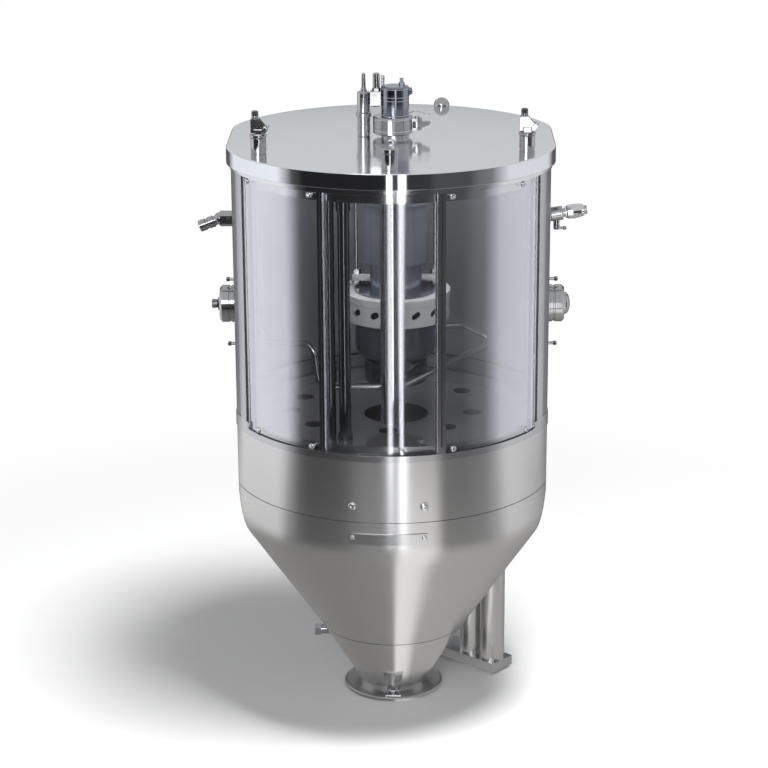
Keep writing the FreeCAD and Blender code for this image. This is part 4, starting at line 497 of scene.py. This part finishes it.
def deck_ring():
    """The ring that holds the foot of the glazing: low in front of the panes, full height round the rest."""
    rear_from, strip_from, step = 60.6, 60.4, 6
    outer = flatted_points(RING_R, 201, 25)
    inner = flatted_points(PANE_OUTER_R, 198.3, 22.3)
    inward = flatted_points(200, 192, 18)
    bed = flatted_points(197, 189, 16)
    angles = [abs(math.degrees(math.atan2(p.x, -p.y))) for p in outer]
    behind = [i for i, angle in enumerate(angles) if angle > rear_from]
    front = [i for i, angle in enumerate(angles) if angle < STRIP_EDGE]
    split = next(k for k, i in enumerate(front) if k and i - front[k - 1] > 1)
    front = front[split:] + front[:split]
    bm = bmesh.new()
    for span, top in ((behind, RING_TOP), (front, LIP_TOP)):
        add_outline_strip(bm, [outer[i] for i in span], [inner[i] for i in span], RING_FOOT, top)
    add_outline_strip(bm, inner, inward, RING_FOOT, RING_FOOT + step)
    add_outline_strip(bm, inward, bed, RING_FOOT, RING_TOP)
    piece = add_piece("deck_ring_lip", bm, SATIN, smooth=30)
    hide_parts("deck_ring")
    feet = bmesh.new()
    for angle, width in MULLIONS:
        half = math.degrees(width / 2 / TANK_R)
        add_wall_strip(feet, PANE_OUTER_R, RING_R, angle - half, angle + half, LIP_TOP, RING_TOP)
    for sign in (-1, 1):
        a0, a1 = sorted((sign * strip_from, sign * STRIP_EDGE))
        add_wall_strip(feet, PANE_OUTER_R, RING_R, a0, a1, LIP_TOP, RING_TOP)
    add_piece("strip_feet", feet, TRIM)


def seam_radius():
    """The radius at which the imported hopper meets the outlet."""
    return max(math.hypot(v.co.x, v.co.y) for v in NODES["hopper_cone"].data.vertices
               if v.co.z < (SEAM_Z + 0.5) * MM) / MM


def hopper():
    """The hopper: an upright rim with two flats that turns through soft shoulders into a round cone."""
    top, corner, flats_end, bend, wall, steps = 309.6, 260.0, 150.0, 56.0, 2.5, 288
    seam_r = seam_radius()
    slope = (TANK_R - seam_r) / (corner - SEAM_Z)
    lean = math.atan(slope)
    reach = bend * math.tan(lean / 2)

    def cone(z):
        return seam_r + (z - SEAM_Z) * slope

    def round_part(z):
        if z >= corner + reach:
            return TANK_R
        if z <= corner - reach * math.cos(lean):
            return cone(z)
        return TANK_R - bend + math.sqrt(bend ** 2 - (corner + reach - z) ** 2)

    def flats(z):
        """Half the width across the flats: a long curve that leaves the rim's foot and meets the cone low down."""
        if z >= top:
            return FLAT_HALF
        if z <= flats_end:
            return TANK_R
        turn = corner - (TANK_R - FLAT_HALF) / slope
        a, b = top - 2 * turn + flats_end, 2 * (top - turn)
        t = (b - math.sqrt(b * b - 4 * a * (top - z))) / (2 * a)
        return FLAT_HALF - t * t * (FLAT_HALF - cone(flats_end))

    def add_level(z, inset):
        wide, half = round_part(z) - inset, flats(z) - inset
        ways = [out_from(360 * i / steps) for i in range(steps)]
        return [bm.verts.new((way * min(wide, half / max(abs(way.x), 1e-6)) + UP * z) * MM) for way in ways]

    levels = [SEAM_Z, flats_end, 190] + [200 + 4 * i for i in range(28)] + [top]
    bm = bmesh.new()
    loops = [add_level(z, 0) for z in levels] + [add_level(z, wall) for z in reversed(levels)]
    for one, two in zip(loops, loops[1:] + loops[:1]):
        bridge(bm, one, two)
    piece = add_piece("hopper_shell", bm, BRUSHED, smooth=30)
    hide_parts("hopper_cone")


def spout():
    """The outlet: the cone carried down to a blunt foot over a short neck, a flat pad and the latch's two eyes."""
    foot_r, wall, joint, neck_foot = 51.5, 2.5, 0.9, 5.05
    seam_r, top = seam_radius(), SEAM_Z - joint

    def cone(z):
        return foot_r + (seam_r - foot_r) * (z - SPOUT_FOOT_Z) / (SEAM_Z - SPOUT_FOOT_Z)

    bm = bmesh.new()
    outer = [(45, neck_foot), (45, 11), (46.2, 13.2), (49.4, 17.2), (50.8, 19.4), (foot_r, SPOUT_FOOT_Z),
             (cone(top), top)]
    inner = [(cone(top) - wall, top), (foot_r - 4, SPOUT_FOOT_Z), (40, 12.3), (40, neck_foot)]
    add_lathe(bm, outer + inner, Matrix.Identity(4), 128, closed=True)
    for x in (-6.0, -4.0, 4.0, 6.0):
        add_ring(bm, 2.8, 1.1, frame_of(Vector((x, -48.2, 7.6)) * MM, (1, 0, 0)), 32, 10)
    piece = add_piece("spout_cone", bm, BRUSHED, smooth=30)
    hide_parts("outlet_spout")

    pad = bmesh.new()
    z0, z1, sunk, proud, chamfer = SPOUT_FOOT_Z + 1, SPOUT_FOOT_Z + 21, -1.5, 0.8, 0.6
    section = ((sunk, z0), (proud, z0 + chamfer), (proud, z1 - chamfer), (sunk, z1))
    add_bar(pad, [[at_angle(cone(z) + out, -12.0 + 2.0 * i, z) for out, z in section] for i in range(13)])
    add_piece("spout_pad", pad, TUBE_STEEL, smooth=30)


# Small details on the lid, motor and fittings

def dome():
    radius, skirt = 10.5, 2.0
    bm = bmesh.new()
    arc = [(radius * math.cos(a), skirt + radius * math.sin(a)) for a in (math.pi / 2 * i / 12 for i in range(12))]
    profile = [(0, 0), (radius, 0)] + arc + [(0, skirt + radius)]
    add_lathe(bm, profile, frame_of(at_angle(207.0, 161.4, LID_TOP), UP), 64)
    piece = add_piece("vent_cap", bm, FITTING)
    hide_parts("vent_dome")


def lid_details():
    """The motor's rings, the valve block's spring, the clamp's wire pin and its screws."""
    bm = bmesh.new()
    for z in (782.4, 801.6, 806.0, 816.0):
        add_ring(bm, 17.75, 0.35, upright(MILL_X, 0, z), 64)
    for z in (764.0, 778.5):
        add_ring(bm, 25.0, 0.4, upright(CLAMP_X, 0, z), 72)
    add_piece("motor_rings", bm, POLISHED)

    coil = bmesh.new()
    add_wire(coil, helix(2.2, 1.9, 9, upright(-10.5, 4, 814)), 0.55)
    add_piece("spring_coil", coil, CAST)

    wire = bmesh.new()
    bends = ((22.9, 6, 783.4), (30, 4, 786.0), (38, 1, 785.2), (44, -1, 783.6))
    add_wire(wire, [Vector(p) * MM for p in bends], 0.7)
    add_ring(wire, 2.0, 0.6, frame_of(Vector((45.8, -1, 783.3)) * MM, (0, -1, 0.2)), 24)
    add_piece("wire_pin", wire, POLISHED)

    studs = bmesh.new()
    for degrees in (-50, -10, 200):
        place = at_angle(21.2, degrees, CLAMP_TOP) + Vector((CLAMP_X, 0, 0)) * MM
        add_socket_screw(studs, frame_of(place, UP), 2.0, 1.5)
    add_piece("clamp_screws", studs, POLISHED, smooth=30)


def fitting_details():
    """On each angle valve a foot ring, a hexagon nut, a ball and the knob's thread."""
    bm = bmesh.new()
    for angle in (-60.0, 64.0):
        foot = at_angle(187, angle, LID_TOP)

        def above(x, y, z, axis=UP):
            return frame_of(foot + Vector((x, y, z)) * MM, axis)

        add_ring(bm, 9.6, 0.5, above(0, 0, 19.5), 48)
        add_lathe(bm, [(0, 0), (2.6, 0), (2.6, 1.4), (2.0, 2.0), (0, 2.0)], above(8.5, -6.6, 29.9, (0, -1, 0)), 6)
        ball = [(0, -2.6), (1.5, -2.1), (2.5, -0.8), (2.5, 0.8), (1.5, 2.1), (0, 2.6)]
        add_lathe(bm, ball, above(11.8, -2, 33), 24)
        add_wire(bm, helix(4.0, 1.0, 4, above(-3.5, 0, 41.8)), 0.35, 6)
    add_piece("fitting_trim", bm, POLISHED, smooth=30)


def threads():
    """Threads on the hanger rods and the motor's stud."""
    pitch = 0.8
    bm = bmesh.new()
    for x in (-46.0, 56.0):
        for z, turns in ((557.5, 2), (580.0, 5)):
            add_wire(bm, helix(3.0, pitch, turns, upright(x, 10, z)), 0.3, 6)
    add_wire(bm, helix(2.3, pitch, 8, upright(13.5, 8, 820.3)), 0.28, 6)
    add_piece("rod_threads", bm, POLISHED)


# Stage, in metres: floor, wall for reflections, world, lamps and camera

# What the metal mirrors, as (direction, level): on the floor near the vessel, further out, and on the wall
NEAR_PANELS = ((-180, 0.2), (-120, 0.30), (-60, 0.30), (-10, 0.32), (0, 0.36), (5, 1.2), (22, 1.1), (34, 0.55),
               (90, 0.50), (130, 0.34), (180, 0.2))
FLOOR_PANELS = ((-180, 0.10), (-156, 0.22), (-128, 0.85), (-82, 0.92), (-72, 0.16), (-56, 0.12), (-34, 0.13),
                (-26, 0.20), (2, 0.20), (6, 1.5), (27, 1.4), (34, 0.28), (62, 0.26), (74, 0.40), (84, 0.85),
                (96, 0.80), (112, 0.58), (140, 0.24), (180, 0.10))
WALL_PANELS = ((-180, 0.1), (-140, 0.12), (-124, 1.0), (-76, 1.1), (-64, 0.10), (-56, 0.02), (-2.4, 0.02),
               (-1.9, 4.5), (0.5, 4.5), (1.0, 0.06), (5.2, 0.06), (5.7, 4.5), (8.9, 4.5), (9.4, 0.04), (24, 0.05),
               (28, 0.09), (50, 0.09), (56, 0.18), (66, 0.24), (80, 0.9), (124, 0.85), (140, 0.12), (180, 0.1))
WARM, COOL, WHITE_LIGHT = (1.0, 0.985, 0.96), (0.96, 0.97, 1.0), (1, 1, 1)


def stage_material(name):
    mat = bpy.data.materials.new(name)
    mat.use_nodes = True
    mat.node_tree.nodes.clear()
    return mat, Graph(mat.node_tree)


def panel_light(graph, panels, tint):
    """Light that changes with the direction about the upright axis, as from tall panels round the vessel."""
    x, y, _ = graph.split(graph.coordinates())
    angle = graph.math("ARCTAN2", x, graph.math("MULTIPLY", y, -1.0))
    ramp = graph.node("ShaderNodeValToRGB", {"Fac": graph.map_range(angle, -math.pi, math.pi)})
    elements = ramp.color_ramp.elements
    peak = max(level for _, level in panels)
    for i, (degrees, _) in enumerate(panels):
        place = (degrees + 180) / 360
        stop = elements[i] if i < 2 else elements.new(place)
        stop.position = place
    for stop, (_, level) in zip(sorted(elements, key=lambda each: each.position), panels):
        stop.color = (*(level / peak * part for part in tint), 1)
    return graph.node("ShaderNodeEmission", {"Color": ramp.outputs["Color"], "Strength": peak}).outputs[0]


def floor_material():
    """Pale, fading to plain white further out. The metal mirrors its panels instead."""
    mat, graph = stage_material("floor_white")
    distance = graph.length(graph.coordinates())
    lit = graph.node("ShaderNodeBsdfDiffuse", {"Color": (0.86, 0.86, 0.86)}).outputs[0]
    white = graph.node("ShaderNodeEmission", {"Strength": 1.0}).outputs[0]
    seen = graph.choose(graph.map_range(distance, 0.55, 1.25, interpolation_type="SMOOTHSTEP"), lit, white)
    close = graph.choose(graph.map_range(distance, 0.45, 0.85), panel_light(graph, NEAR_PANELS, WARM),
                         panel_light(graph, FLOOR_PANELS, WARM))
    mirrored = graph.choose(graph.map_range(distance, 1.18, 1.34), close, panel_light(graph, WALL_PANELS, COOL))
    glossy = graph.node("ShaderNodeLightPath").outputs["Is Glossy Ray"]
    graph.node("ShaderNodeOutputMaterial", {"Surface": graph.choose(glossy, seen, mirrored)})
    return mat


def floor():
    bm = bmesh.new()
    bmesh.ops.create_circle(bm, cap_ends=True, radius=9.0, segments=96)
    object_from("floor", bm, floor_material())


def reflection_wall():
    """A low wall of light and dark panels, seen only in the metal's reflections."""
    radius, foot, top, steps = 1.9, 0.002, 1.05, 120
    ways = [out_from(360 * i / steps) * radius for i in range(steps)]
    bm = bmesh.new()
    bridge(bm, *([bm.verts.new(way + UP * z) for way in ways] for z in (foot, top)))
    mat, graph = stage_material("reflection_panels")
    graph.node("ShaderNodeOutputMaterial", {"Surface": panel_light(graph, WALL_PANELS, COOL)})
    obj = object_from("reflection_wall", bm, mat)
    obj.visible_camera = False
    obj.visible_diffuse = False
    obj.visible_shadow = False
    obj.visible_transmission = False


def world():
    """White to the camera and behind the glass, and a softer light on all that it falls on."""
    data = bpy.data.worlds.new("studio")
    bpy.context.scene.world = data
    data.use_nodes = True
    graph = Graph(data.node_tree)
    graph.nodes.clear()
    path = graph.node("ShaderNodeLightPath").outputs

    def light(colour, strength):
        return graph.node("ShaderNodeBackground", {"Color": colour, "Strength": strength}).outputs[0]

    fill = graph.choose(path["Is Glossy Ray"], light((0.97, 0.98, 1.0), 0.30), light((0.80, 0.81, 0.82), 0.85))
    seen = graph.math("MAXIMUM", path["Is Camera Ray"], path["Is Transmission Ray"])
    graph.node("ShaderNodeOutputWorld", {"Surface": graph.choose(seen, fill, light(WHITE_LIGHT, 1.0))})


def lamp(name, place, target, size, watts):
    data = bpy.data.lights.new(name, "AREA")
    data.energy = watts
    data.size = size
    obj = link_new(name, data)
    obj.location = place
    obj.rotation_euler = (Vector(target) - Vector(place)).to_track_quat("-Z", "Y").to_euler()
    return obj


def lamps():
    key = lamp("key", (0.48, -0.42, 3.0), (0, 0, 0.1), 0.75, 95.0)
    key.visible_glossy = False
    lamp("front", (-0.6, -2.6, 1.5), (0, 0, 0.5), 1.2, 22.0)
    chamber = lamp("chamber", (0.0, -0.02, 0.728), (0.0, -0.02, 0.4), 0.30, 0.9)
    chamber.visible_camera = False
    chamber.visible_glossy = False


def camera():
    """The photograph's camera, fitted to the vessel's edges. Its turn, tilt and roll are in radians."""
    place, turn, tilt, roll = (0.0300, -2.9151, 1.3561), 0.014, -0.3091, -0.0056
    data = bpy.data.cameras.new("camera")
    data.lens = 109.64
    data.sensor_width = 36.0
    obj = link_new("camera", data)
    obj.matrix_world = (Matrix.Translation(place) @ Matrix.Rotation(turn, 4, "Z")
                        @ Matrix.Rotation(math.pi / 2 + tilt, 4, "X") @ Matrix.Rotation(roll, 4, "Z"))
    bpy.context.scene.camera = obj


for build in (screws, seals, lid, deck_ring, hopper, spout, dome, lid_details, fitting_details, threads,
              floor, reflection_wall, world, lamps, camera):
    build()
bpy.context.scene.view_settings.view_transform = "Standard"
